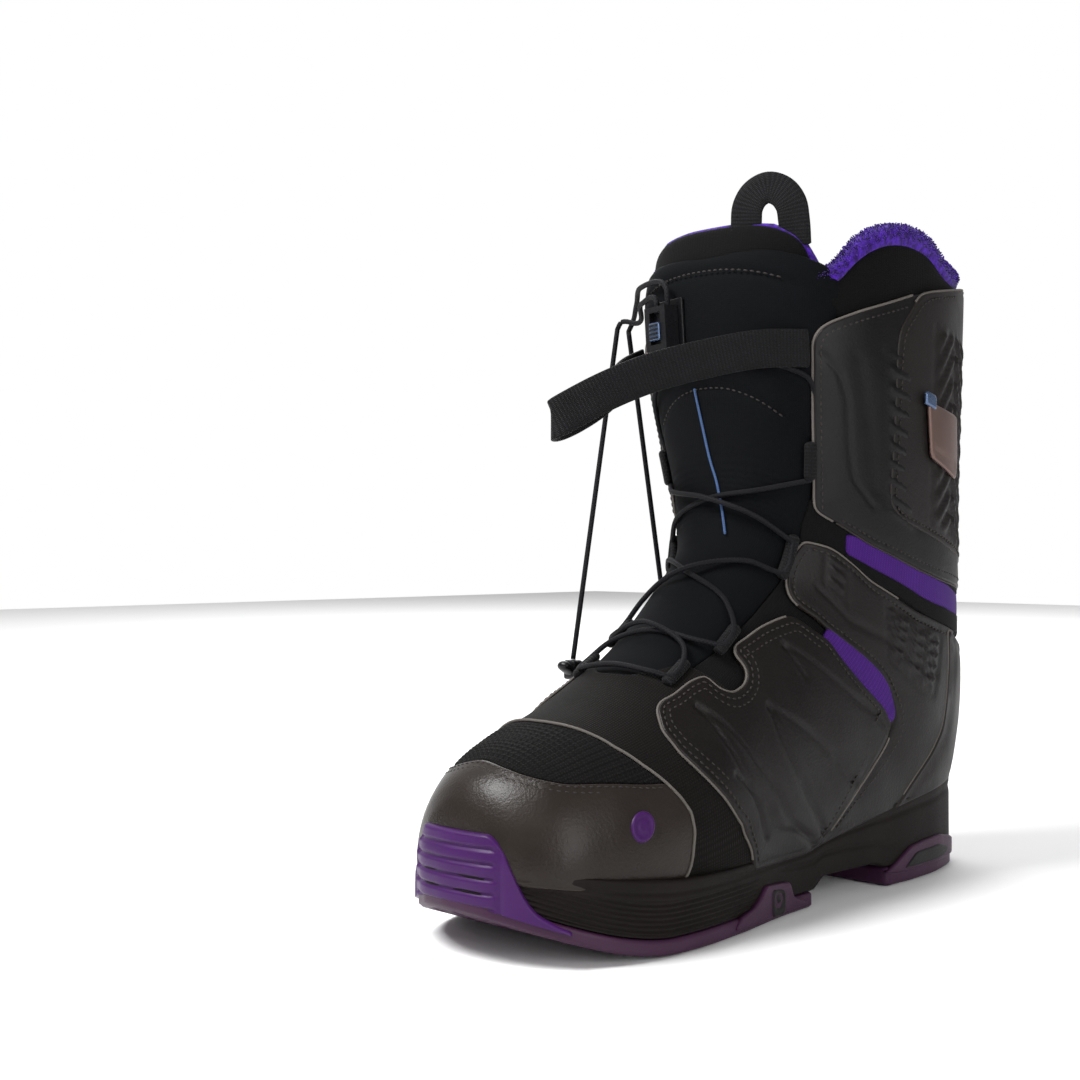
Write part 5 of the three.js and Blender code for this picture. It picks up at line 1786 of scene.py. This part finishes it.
# ------------------------------------------------------------------ cuff
@dataclass
class Cuff:
    """The shaft panels, the backstay and the stretch band at the ankle."""

    panel: float = 2.0
    base: float = 1.0
    stay: float = 1.9
    piping: float = 0.62

    def side_panel(self, w: Wardrobe, side: Side) -> None:
        """Front and side of the cuff with its embossed column."""
        tag = side.tag
        sign = side.value
        outline = (*CUFF_BOTTOM, *CUFF_FRONT, *CUFF_TOP[:3], (33, 245), (34, 226), (34, 176),
                   (20, 168), (-12, 160), (-57, 146))
        ring = panel_ring(outline, side)
        relief = together(
            ladder((.752, 81.5 * sign), (.922, 80 * sign), 9.0, 6.4, 1.3),
            groove(ua((.897, 47 * sign), (.88, 54 * sign), (.856, 57 * sign),
                      (.80, 58 * sign), (.765, 60 * sign), (.748, 68 * sign)), 1.1, 0.6),
            groove(ua((.90, 62 * sign), (.84, 66 * sign), (.77, 70 * sign)), 3.0, 0.5),
        )
        cut = Cut(ring, base=self.base, thick=self.panel + 0.6, corner=2.0, pitch=1.25, crown=0.6,
                  seams=(2.6,), relief=relief)
        settle(cut.build(f"cuff_{tag}"), Body.CUFF, "smooth_leather", w.cuff_leather)
        seam = cut.edge_line(2.6, 0.05, lambda q: (q[:, 0] > -30)
                             & ((q[:, 0] > 40) | (q[:, 2] < 160)))
        sewn(w, f"cuff_stitch_{tag}", seam, Body.CUFF)
        pale = cut.edge_line(-0.15, -0.9, lambda q: (q[:, 0] > 36) & (q[:, 2] > 160))
        piped(w, f"cuff_piping_{tag}", pale, Body.CUFF, self.piping)
        dark = cut.edge_line(-0.15, -0.9, lambda q: (q[:, 2] <= 160) & (q[:, 0] > -50))
        piped(w, f"cuff_edge_{tag}", dark, Body.CUFF, self.piping * 0.8, dark=True)

    def backstay(self, w: Wardrobe) -> None:
        """Moulded stay up the back with slanted ribs."""
        edge = side_line(flipped(BACKSTAY_EDGE))
        top = side_line(((31, 260), (-20, 268), (-56, 271)))
        line = np.vstack([edge, top])
        relief = together(
            chevrons(109.0, 11.5, .775, .965, 7.0, 1.2),
            groove(ua((.775, 95), (.96, 95)), 0.9, 0.5),
            groove(ua((.769, 79), (.746, 84), (.743, 89), (.75, 102), (.76, 125)), 1.0, 0.5),
            groove(ua((.775, 265), (.96, 265)), 0.9, 0.5),
            groove(ua((.769, 281), (.743, 271), (.75, 258), (.76, 235)), 1.0, 0.5),
        )
        cut = Cut(both_sides(line, True), base=self.stay, thick=self.panel + 1.3, corner=2.4,
                  pitch=1.25, crown=0.5, seams=(2.2,), relief=relief)
        settle(cut.build("cuff_backstay"), Body.CUFF, "smooth_leather", w.stay)
        sewn(w, "backstay_stitch", cut.edge_line(2.2, 0.05, lambda q: q[:, 2] < 262),
             Body.CUFF)
        piped(w, "backstay_piping", cut.edge_line(-0.1, -0.8, lambda q: q[:, 2] > 255),
              Body.CUFF, self.piping * 0.9)

    def tab(self, w: Wardrobe) -> None:
        """Folded tab with a clip, on the back edge."""
        ring = ua((.837, 92), (.889, 90), (.893, 109), (.853, 111), (.835, 110))
        cut = Cut(ring, base=4.7, thick=1.5, pitch=1.4, corner=1.0, edge=0.5, crown=0.3,
                  relief=groove(ua((.846, 94), (.846, 108)), 0.8, 0.35))
        settle(cut.build("cuff_tab"), Body.CUFF, "tab_metal", w.tab)
        clip = Cut(ua((.884, 88.5), (.897, 88.5), (.897, 93), (.884, 93)), base=5.5, thick=1.3,
                   pitch=1.2, corner=0.5, edge=0.4)
        settle(clip.build("cuff_tab_clip"), Body.CUFF, "tab_metal", w.steel)

    def lining(self, w: Wardrobe) -> None:
        """Lining of the shaft behind the panels."""
        line = np.vstack([
            side_line(((-57, 127), (0, 138), (23, 144), (51, 154), (70, 166))),
            ua((.735, 46), (.8, 47), (.9, 47)),
            side_line(((76, 244), (66, 248), (27, 260), (-20, 267), (-56, 270))),
        ])
        cut = Cut(both_sides(line, True), base=-1.6, thick=1.8, corner=1.0, pitch=4.0, edge=0.4)
        settle(cut.build("shell_shaft"), Body.CUFF, "upper_textile", w.lining)

    def band(self, w: Wardrobe) -> None:
        """Backing of the gap at the ankle, its purple strips and their hems."""
        line = np.vstack([
            side_line(shift(STRAP_TOP, 0, -6)), side_line(((74, 146), (80, 150))),
            ua((.665, 41), (.715, 43)),
            side_line(shift(flipped(CUFF_BOTTOM), 0, 8)),
        ])
        cut = Cut(both_sides(line, True), base=-0.75, thick=1.1, corner=1.4, pitch=2.6,
                  crown=0.2, edge=0.4)
        settle(cut.build("ankle_backing"), Body.FOLD, "upper_textile", w.lining)
        upper = ua((.694, 59), (.704, 67), (.716, 80), (.726, 95), (.737, 110), (.75, 135),
                   (.757, 160), (.758, 180))
        lower = ua((.668, 60), (.679, 73), (.694, 88), (.713, 107), (.73, 130), (.738, 160),
                   (.74, 180))
        for side in Side:
            tag, turn = side.tag, np.array([1, side.value])
            high, low = resampled(upper, 2.0), resampled(lower, 2.0)
            strip = Cut(np.vstack([low, high[::-1]]) * turn, base=0.0, thick=1.1, pitch=1.8,
                        corner=1.0, crown=0.35, edge=0.4)
            settle(strip.build(f"stretch_strip_{tag}"), Body.FOLD, "purple_stretch", w.stretch)
            for label, ring in (("upper", np.vstack([high, (high + (5.0, 0))[::-1]])),
                                ("lower", np.vstack([low - (5.0, 0), low[::-1]]))):
                hem = Cut(ring * turn, base=0.3, thick=1.0, pitch=1.8, corner=0.8, edge=0.4)
                settle(hem.build(f"strip_hem_{label}_{tag}"), Body.FOLD, "upper_textile",
                       w.lining)

    def dress(self, w: Wardrobe) -> None:
        """Builds the cuff."""
        self.lining(w)
        self.band(w)
        for side in Side:
            self.side_panel(w, side)
        self.backstay(w)
        self.tab(w)


# ------------------------------------------------------------------ tongue and liner
@dataclass
class Tongue:
    """Padded outer tongue."""

    thick: float = 3.4
    crown: float = 3.2

    def relief(self, points: Points, flat: Points) -> Points:
        """Ribs over the bend, stitched arcs and soft folds."""
        u, a = (flat / FLAT).T
        ribs = np.cos(2 * math.pi * flat[:, 0] / 4.2)
        zone = smooth_step(u, .60, .63) * (1 - smooth_step(u, .735, .76))
        zone = zone * (1 - smooth_step(np.abs(a), 30, 36))
        arc = .795 + 0.05 * np.cos(np.radians(a * 2.2))
        hem = .935 + 0.05 * np.cos(np.radians(a * 1.3))
        soft = np.sin(flat[:, 0] / 9.0 + 1.3 * np.sin(flat[:, 1] / 17)) * np.sin(flat[:, 1] / 12)
        return (0.45 * ribs * zone + 0.35 * soft
                - 0.9 * np.exp(-(((u - arc) / .004) ** 2))
                - 0.9 * np.exp(-(((u - hem) / .004) ** 2)))

    def dress(self, w: Wardrobe) -> None:
        """Builds the tongue as one piece."""
        line = ua((.322, 0), (.326, 16), (.35, 26), (.43, 34), (.5, 38), (.58, 40), (.66, 43),
                  (.8, 46), (.9, 51), (.95, 55), (.975, 56), (.992, 51), (1.003, 38),
                  (1.01, 24), (1.008, 10), (1.003, 0))
        cut = Cut(both_sides(resampled(line, 3.0)), base=-2.2, thick=self.thick, corner=2.5,
                  pitch=2.0, edge=1.6, crown=self.crown, relief=self.relief)
        piece = cut.build("tongue")
        settle(piece, Body.FOLD, "tongue_fabric", w.tongue, "tongue_lower",
               "tongue_flex_panel", "tongue_upper")
        a = np.linspace(-30, 30, 40)
        runs = []
        for level, swing, k in ((.795, .05, 2.2), (.935, .05, 1.3)):
            u = level + swing * np.cos(np.radians(a * k))
            points, normals = SKIN.point(u, a), SKIN.normal(u, a)
            runs.append((points + normals * 0.35, normals))
        sewn(w, "tongue_stitch", runs, Body.CUFF, "tongue_fabric")


@dataclass
class Liner:
    """Removable liner: foam wall, pile rim and lining, tongue and pull loop."""

    wall: float = 6.4
    rim: float = 8.5

    def shaft(self, w: Wardrobe) -> None:
        """Dark outer wall, from the fold up to the rim."""
        for name, body, low, high in (
            ("liner_ankle", Body.FOLD, ((-57, 100), (10, 108), (60, 128), (76, 138)),
             ((74, 166), (55, 156), (0, 142), (-57, 132))),
            ("liner_shaft", Body.CUFF, ((-57, 128), (0, 138), (55, 152), (74, 162)),
             COLLAR_LINE),
        ):
            line = np.vstack([side_line(low), side_line(high)])
            piece = Cut(both_sides(line, True), base=-3.9, thick=self.wall, corner=2.0,
                        pitch=3.0, edge=2.0).build(name)
            settle(piece, body, "liner_fabric", w.liner)
        band = np.vstack([
            side_line(flipped(shift(CUFF_TOP, 0, -10)[1:])),
            side_line(shift(COLLAR_LINE, 0, 0.5)),
        ])
        puff = Cut(both_sides(band, True), base=-2.2, thick=4.0, corner=3.0, pitch=2.2, edge=2.2,
                   crown=1.6, relief=lambda p, f: 0.35 * np.sin(f[:, 1] / 7.0)
                   * np.sin(f[:, 0] / 6.0))
        piece = puff.build("liner_shoulder")
        settle(piece, Body.CUFF, "liner_fabric", w.liner)

    def pile(self, w: Wardrobe) -> None:
        """Purple pile rim with fibres, and the lining below it."""
        line = np.vstack([side_line(flipped(shift(COLLAR_LINE, 0, -2.5))),
                          side_line(shift(COLLAR_LINE, -1, self.rim))])
        cut = Cut(both_sides(line, True), base=-1.6, thick=10.0, corner=3.0, pitch=1.8, edge=4.0,
                  crown=0.8)
        rim = cut.build("liner_collar")
        settle(rim, Body.CUFF, "fleece", w.fleece)
        low = side_line(((-56, 168), (0, 176), (52, 184), (72, 190)))
        inside = Cut(both_sides(np.vstack([low, side_line(COLLAR_LINE)]), True), base=-9.6,
                     thick=2.4, corner=2.0, pitch=3.4, edge=0.8)
        lining = inside.build("liner_lining")
        settle(lining, Body.CUFF, "fleece", w.fleece)
        crest = np.vstack([side_line(flipped(shift(COLLAR_LINE, 0, 0.5))),
                           side_line(shift(COLLAR_LINE, -1, self.rim))])
        base = Cut(both_sides(crest, True), base=-1.4, thick=10.4, corner=3.0, pitch=1.8,
                   edge=4.0, crown=0.8).build("pile_base")
        fibres = grown("liner_pile", base, w.fibres, w.fleece, Density=1.0e6,
                       Length=0.95 * MM, Radius=0.23 * MM)
        settle(fibres, Body.CUFF, "fleece", w.fleece)

    def tongue(self, w: Wardrobe) -> None:
        """Liner tongue behind the outer one."""
        line = ua((.70, 0), (.70, 30), (.75, 43), (.95, 45), (1.0, 44), (1.03, 38), (1.05, 24),
                  (1.055, 10), (1.055, 0))
        cut = Cut(both_sides(resampled(line, 3.0)), base=-5.4, thick=5.6, corner=3.0, pitch=2.4,
                  edge=2.4, crown=1.6)
        piece = cut.build("liner_tongue")
        settle(piece, Body.CUFF, "liner_fabric", w.liner)
        edge = ua((.99, 47), (1.02, 40), (1.045, 26), (1.05, 10), (1.05, -10), (1.045, -26),
                  (1.02, -40), (.99, -47))
        points, normals = SKIN.lift(resampled(edge, 2.5))
        line3 = points - normals * 9.5
        roll = swept(line3, normals, circle(3.0, 12, 0.8), "liner_tongue_rim")
        settle(roll, Body.CUFF, "fleece", w.fleece)

    def loop(self, w: Wardrobe) -> None:
        """Pull loop with a finger slot, standing on the liner tongue."""
        u, a = np.array(1.066), np.array(24.0)
        foot = SKIN.at(u, a, -8.9)
        foot[2] = 283.0
        out = unit(SKIN.normal(u, a) * (1.0, 1.0, 0.0))
        side = np.cross(UP, out)
        arch = np.array([(-10.4, -5), (-10.2, 5), (-9.4, 12), (-6.4, 17), (-1.0, 19.6),
                         (5.0, 17.4), (9.0, 12), (10.2, 5), (10.6, -5)])
        line = spline(arch, 1.0)
        bend = 1.2 * np.sin(line[:, 1] / 24.0 * math.pi)
        points = foot + line[:, :1] * side + line[:, 1:] * UP + bend[:, None] * out
        across = np.cross(unit(np.gradient(points, axis=0)), out)
        piece = swept(points, across, flat_section(13.5, 2.2), "liner_pull_loop")
        settle(piece, Body.PULL, "webbing", w.webbing)

    def dress(self, w: Wardrobe) -> None:
        """Builds the liner."""
        self.shaft(w)
        self.pile(w)
        self.tongue(w)
        self.loop(w)


# ------------------------------------------------------------------ lacing
CHANNELS = (("vamp", .345, .368, 26.0, Body.FOOT), ("quarter", .43, .455, 34.5, Body.FOOT),
            ("strap", .58, .63, 38.5, Body.FOOT), ("cuff", .752, .78, 42.0, Body.CUFF))
LOCK_U, LOCK_A = 0.925, -14.0


@dataclass
class Lacing:
    """Laces, their channels and the keeper cord."""

    height: float = 2.3

    def rope(self, name: str, spots: Sequence[tuple], body: Body, slot: str,
             finish: bpy.types.Material, radius: float = 1.15) -> None:
        """One length of cord over the skin.

        Args:
            name: piece name.
            spots: u, degrees and rise over the lace's usual height.
            body: the body it moves with.
            slot: the record's material slot.
            finish: its material.
            radius: its radius in millimetres.
        """
        line, normals = routed([(u, a, self.height + rise) for u, a, rise in spots])
        piece = swept(line, normals, circle(radius, 10), name)
        settle(piece, body, slot, finish)

    def channel(self, w: Wardrobe, spot: tuple, side: Side) -> None:
        """A folded webbing tab that holds the lace."""
        name, u0, u1, a, body = spot
        u = np.linspace(u0 - 0.006, u1 + 0.006, 14)
        turn = np.full(14, a * side.value)
        line, normals = SKIN.at(u, turn, self.height - 1.2), SKIN.normal(u, turn)
        section = [(y * 1.9, x * 2.8) for x, y in circle(1.0, 14)]
        piece = swept(line, normals, section, f"lace_channel_{name}_{side.tag}")
        settle(piece, body, "webbing", w.webbing)

    def dress(self, w: Wardrobe) -> None:
        """Builds every cord and channel of the closure."""
        for spot in CHANNELS:
            for side in Side:
                self.channel(w, spot, side)
        v, q, s, c = (spot[1:4] for spot in CHANNELS)
        self.rope("lace_lower", (
            (s[1], s[2], 0), (s[0], s[2], 0), (.555, 24, 0), (.5, 0, 3), (.478, -26, 0),
            (q[1], -q[2], 0), (q[0], -q[2], 0), (.415, -27, 0), (.405, 0, 3), (.39, 22, 0),
            (v[1], v[2], 0), (v[0], v[2], 0), (.335, 18, 0), (.331, 0, 0), (.335, -18, 0),
            (v[0], -v[2], 0), (v[1], -v[2], 0), (.385, -22, 0), (.4, 0, 0), (.415, 27, 0),
            (q[0], q[2], 0), (q[1], q[2], 0), (.478, 26, 0), (.505, 0, 0), (.555, -24, 0),
            (s[0], -s[2], 0), (s[1], -s[2], 0)), Body.FOOT, "lace", w.lace)
        for side in Side:
            sign, tag = side.value, side.tag
            rise = 3 if sign > 0 else 0
            self.rope(f"lace_ankle_{tag}", (
                (s[1], sign * s[2], 0), (.641, sign * 22, rise / 2), (.662, 0, rise),
                (.698, -sign * 22, rise / 2), (c[0] - .012, -sign * c[2], -2)), Body.FOLD,
                "lace", w.lace)
        self.rope("lace_upper_lateral", (
            (c[0], c[2], -2), (c[1], c[2] + 2, -3), (.83, 44, -3), (.866, 42, -2), (.874, 34, 0),
            (.876, 12, 0), (.874, -4, 1.5), (LOCK_U - .05, LOCK_A + 2.5, 3)), Body.CUFF,
            "lace", w.lace)
        self.rope("lace_upper_medial", (
            (c[0], -c[2], -2), (c[1], -c[2] - 1, -3), (.82, -42, -2), (.85, -30, 0.5),
            (LOCK_U - .05, LOCK_A - 2.5, 3)), Body.CUFF, "lace", w.lace)
        self.rope("lace_keeper", (
            (.845, -4, -.6), (.79, -2, -.6), (.74, 0, -.6), (.705, 2, -.6), (.666, 4, -.6),
            (.625, 7, -.4), (.59, 10, -.6)), Body.FOLD, "keeper_cord", w.keeper, 0.55)


@dataclass
class Lock:
    """Lace lock: base plate, body with a slot and a ribbed slider."""

    size: tuple[float, float, float] = (15.0, 19.0, 7.0)
    plate: float = 1.6
    seat: float = 0.2
    slider: tuple[float, float, float] = (7.0, 8.0, 3.4)

    def place(self, rise: float) -> Matrix:
        """Frame on the tongue: x across, y up, z out."""
        u, a = np.array(LOCK_U), np.array(LOCK_A)
        at, z = SKIN.at(u, a, rise), SKIN.normal(u, a)
        up = SKIN.point(u + .03, a) - SKIN.point(u - .03, a)
        y = unit(up - z * float(up @ z))
        x = np.cross(y, z)
        axes = Matrix([[*v, 0.0] for v in np.array([x, y, z]).tolist()]
                      + [[0, 0, 0, 1]]).transposed()
        axes.translation = Vector(at.tolist())
        return axes

    def dress(self, w: Wardrobe) -> None:
        """Builds the lock."""
        sx, sy, sz = self.size
        base = rounded_box("lock_base", (sx + 5, sy + 6, self.plate), 0.5,
                           self.place(self.seat + self.plate / 2))
        settle(base, Body.CUFF, "lock_plastic", w.plastic)
        seat = self.seat + self.plate + 0.2
        x, _, z = self.slider
        body = rounded_box("lock_body", self.size, 1.3, self.place(seat + sz / 2),
                           ((x + 0.8, sy - 5, 8), (0, 0, 4.6 - sz / 2 + 4)))
        settle(body, Body.CUFF, "lock_plastic", w.plastic)
        axes = self.place(seat + 4.7 + z / 2) @ Matrix.Translation((0, -1.5, 0))
        slider = rounded_box("lock_slider", self.slider, 0.7, axes)
        # The slider's blue-grey tint is a painted glint, not a colour of its own.
        settle(slider, Body.SLIDER, "lock_plastic", w.steel)
        for k in range(4):
            rib = rounded_box(f"lock_rib_{k}", (x - 1.0, 0.9, 0.8), 0.3,
                              axes @ Matrix.Translation((0, -2.7 + 1.8 * k, z / 2 + 0.2)))
            settle(rib, Body.SLIDER, "lock_plastic", w.plastic)


@dataclass
class Loops:
    """Webbing loop across the front of the cuff."""

    width: float = 16.0
    thick: float = 1.6

    def dress(self, w: Wardrobe) -> None:
        """Builds the stowing loop."""
        route = ((86, 42.5, 233), (104, 33, 232), (126, 20, 227), (150, 6, 219),
                 (170, -7, 208), (178, -16, 201), (170, -22, 201), (150, -27, 207),
                 (128, -33, 216), (108, -40, 226), (90, -45, 232))
        line = spline(route, 1.2)
        piece = swept(line, UP, flat_section(self.width, self.thick), "webbing_loop")
        settle(piece, Body.WEBBING, "webbing", w.webbing)


@dataclass
class Handle:
    """Pull handle that hangs outside the inner cuff on two cords."""

    cord: float = 2.4
    hang_y: float = -72.0
    hang_z: float = 252.0
    hang_x: tuple[float, float] = (79.0, 71.0)
    ends: tuple[float, float] = (109.0, 41.0)
    end_z: float = 98.0
    sag: float = 26.0

    def bow(self, trim: float, lift: float, count: int = 60) -> Points:
        """Line of the bowed grip."""
        a = np.array([self.ends[0] + 6, self.hang_y, self.end_z - 8 + lift])
        b = np.array([sum(self.ends) / 2, self.hang_y, self.end_z - 8 - self.sag + lift])
        c = np.array([self.ends[1] - 6, self.hang_y, self.end_z - 8 + lift])
        t = np.linspace(trim, 1 - trim, count)[:, None]
        return (1 - t) ** 2 * a + 2 * t * (1 - t) * b + t * t * c

    def dress(self, w: Wardrobe, lock: Lock) -> None:
        """Builds the handle, its cords and their leads."""
        place = lock.place(4.5)
        for k, tag in enumerate(("front", "rear")):
            x_off = 4 if k else -4
            start = place @ Vector((x_off, lock.size[1] / 2 - 0.5, 0))
            over = place @ Vector((x_off, lock.size[1] / 2 + 2.5 + k * 4, 0))
            u = np.array([.965 + k * .02, .958 + k * .02])
            turn = SKIN.at(u, np.array([-32.0, -52.0]), np.array([3.8, 4.2]))
            edge = (self.hang_x[k], self.hang_y + 1.8, self.hang_z + 3)
            last = (self.hang_x[k], self.hang_y, self.hang_z + 0.3)
            line = spline([tuple(start), tuple(over), turn[0], turn[1], edge, last], 1.2)
            lead = swept(line, np.array([0.1, 0.9, 0.5]), circle(self.cord / 2, 10),
                         f"handle_lead_{tag}")
            settle(lead, Body.CUFF, "lace", w.lace)
            top = (self.hang_x[k], self.hang_y, self.hang_z)
            end = (self.ends[k], self.hang_y, self.end_z)
            run = np.linspace(top, end, 60)
            cord = swept(run, np.array([0, 1.0, 0]), circle(self.cord / 2, 12),
                         f"handle_cord_{tag}", round_caps=False)
            settle(cord, Body.HANDLE, "lace", w.lace)
        rail_line = self.bow(0.0, 5.2)
        rail = swept(rail_line, np.array([0, 1.0, 0]),
                     [(x * 3.6, y * 2.4) for x, y in circle(1.0, 16)], "handle_rail")
        settle(rail, Body.HANDLE, "lock_plastic", w.plastic)
        for k, x in enumerate(self.ends):
            hub = rounded_box(f"handle_hub_{k}", (6.4, 7.4, 9.0), 1.4, Matrix.Translation(
                (x, self.hang_y, self.end_z - 4.8)))
            settle(hub, Body.HANDLE, "lock_plastic", w.plastic)
        grip_line = self.bow(0.14, -4.2, 90)
        t = np.linspace(-1, 1, 90)
        swell = 0.9 + 0.14 * (1 - t * t) + 0.03 * np.cos(t * 40)
        grip = swept(grip_line, np.array([0, 1.0, 0]),
                     [(x * 5.5, y * 4.6) for x, y in circle(1.0, 22)], "handle_grip", swell)
        settle(grip, Body.HANDLE, "grip_rubber", w.grip)
        rivet_place = Matrix.Translation((sum(self.ends) / 2, self.hang_y - 6.1,
                                          self.end_z - 8 - self.sag / 2 - 3.4))
        rivet_line = np.array([[0, 0.6, 0], [0, 0, 0], [0, -0.6, 0]], float) + np.array(
            rivet_place.translation)
        rivet = swept(rivet_line, np.array([1.0, 0, 0]), circle(2.6, 20), "handle_rivet")
        settle(rivet, Body.HANDLE, "tab_metal", w.steel)


# ------------------------------------------------------------------ the whole boot
@dataclass
class Boot:
    """The boot, made of its sub-assemblies."""

    sole: Sole = field(default_factory=Sole)
    lower: LowerUpper = field(default_factory=LowerUpper)
    cuff: Cuff = field(default_factory=Cuff)
    tongue: Tongue = field(default_factory=Tongue)
    liner: Liner = field(default_factory=Liner)
    lacing: Lacing = field(default_factory=Lacing)
    lock: Lock = field(default_factory=Lock)
    loops: Loops = field(default_factory=Loops)
    handle: Handle = field(default_factory=Handle)

    def inner_parts(self, w: Wardrobe) -> None:
        """Gives the hidden parts that keep their CAD shape their finishes."""
        for name, finish, slot in (
            ("lasting_board", w.board, "board"), ("toe_puff", w.plastic, "stiffener"),
            ("liner_foot", w.liner, "liner_fabric"), ("footbed", w.board, "footbed_foam"),
        ):
            piece = bpy.data.objects[name]
            piece.data.materials.clear()
            piece.data.materials.append(finish)

    def dress(self, w: Wardrobe) -> None:
        """Builds everything."""
        self.inner_parts(w)
        self.sole.dress(w)
        self.lower.dress(w)
        self.cuff.dress(w)
        self.tongue.dress(w)
        self.liner.dress(w)
        self.lacing.dress(w)
        self.lock.dress(w)
        self.loops.dress(w)
        self.handle.dress(w, self.lock)


# ------------------------------------------------------------------ studio
@dataclass
class Studio:
    """White floor, soft lights and the camera.

    Attributes:
        eye: where the camera stands, in millimetres.
        right: its right direction.
        down: its down direction.
        lens: focal length for a 36 mm sensor.
        backdrop: direction of the bright backdrop.
        room: brightness of the room away from it.
    """

    eye: tuple[float, float, float] = (628.66, 433.29, 151.35)
    right: tuple[float, float, float] = (-0.71203, 0.70215, 0.0)
    down: tuple[float, float, float] = (-0.00139, -0.00141, -1.0)
    lens: float = 52.51
    backdrop: tuple[float, float, float] = (-0.704, -0.710, 0.0)
    room: float = 0.30

    def floor(self) -> bpy.types.Object:
        """A plain pale floor just under the boot."""
        size = 3.0
        mesh = bpy.data.meshes.new("floor")
        mesh.from_pydata([(-size, -size, -0.0006), (size, -size, -0.0006), (size, size, -0.0006),
                          (-size, size, -0.0006)], [], [(0, 1, 2, 3)])
        floor = bpy.data.objects.new("floor", mesh)
        bpy.context.scene.collection.objects.link(floor)
        material, _, _ = blank("floor paint", 0.9)
        material.node_tree.nodes["Principled BSDF"].inputs["Base Color"].default_value = linear(
            "f4f4f4")
        mesh.materials.append(material)
        return floor

    def light(self, name: str, at: tuple, aim: tuple, size: float,
              power: float) -> bpy.types.Object:
        """A square soft light aimed at a point, all in metres and watts."""
        lamp = bpy.data.lights.new(name, "AREA")
        lamp.size, lamp.energy = size, power
        item = bpy.data.objects.new(name, lamp)
        item.location = at
        item.rotation_euler = (Vector(aim) - Vector(at)).to_track_quat("-Z", "Y").to_euler()
        bpy.context.scene.collection.objects.link(item)
        return item

    def dress(self) -> None:
        """Sets the studio up."""
        scene = bpy.context.scene
        world = bpy.data.worlds.new("studio")
        world.use_nodes = True
        tree = world.node_tree
        back = tree.nodes["Background"]
        back.inputs["Color"].default_value = (1.0, 1.0, 1.0, 1.0)
        look = add(tree, "ShaderNodeTexCoord").outputs["Generated"]
        facing = add(tree, "ShaderNodeVectorMath", {"operation": "DOT_PRODUCT"})
        tree.links.new(look, facing.inputs[0])
        facing.inputs[1].default_value = self.backdrop
        glow = add(tree, "ShaderNodeMapRange", {"interpolation_type": "SMOOTHSTEP"},
                   From_Min=0.35, From_Max=0.85, To_Min=self.room, To_Max=1.0)
        tree.links.new(facing.outputs["Value"], glow.inputs["Value"])
        tree.links.new(glow.outputs[0], back.inputs["Strength"])
        scene.world = world
        scene.view_settings.view_transform = "Standard"
        lens = bpy.data.cameras.new("camera")
        lens.lens, lens.sensor_width, lens.clip_start = self.lens, 36.0, 0.01
        camera = bpy.data.objects.new("camera", lens)
        x = Vector(self.right)
        y = -Vector(self.down)
        z = x.cross(y)
        turn = Matrix((x, y, z)).transposed().to_4x4()
        turn.translation = Vector(self.eye) * MM
        camera.matrix_world = turn
        scene.collection.objects.link(camera)
        scene.camera = camera
        self.floor()
        self.light("key", (0.9, -0.35, 1.25), (0.1, 0, 0.12), 0.6, 30.0)
        self.light("back", (-1.3, -1.2, 1.6), (-0.9, -0.9, 0.0), 1.8, 38.0)
        self.light("fill", (0.55, 1.2, 0.5), (0.08, 0, 0.12), 0.8, 9.0)


def main() -> None:
    """Builds the boot and sets the studio up."""
    logging.basicConfig(level=logging.INFO, format="%(message)s")
    Boot().dress(Wardrobe())
    Studio().dress()
    bpy.context.view_layer.update()


if __name__ == "__main__":
    main()
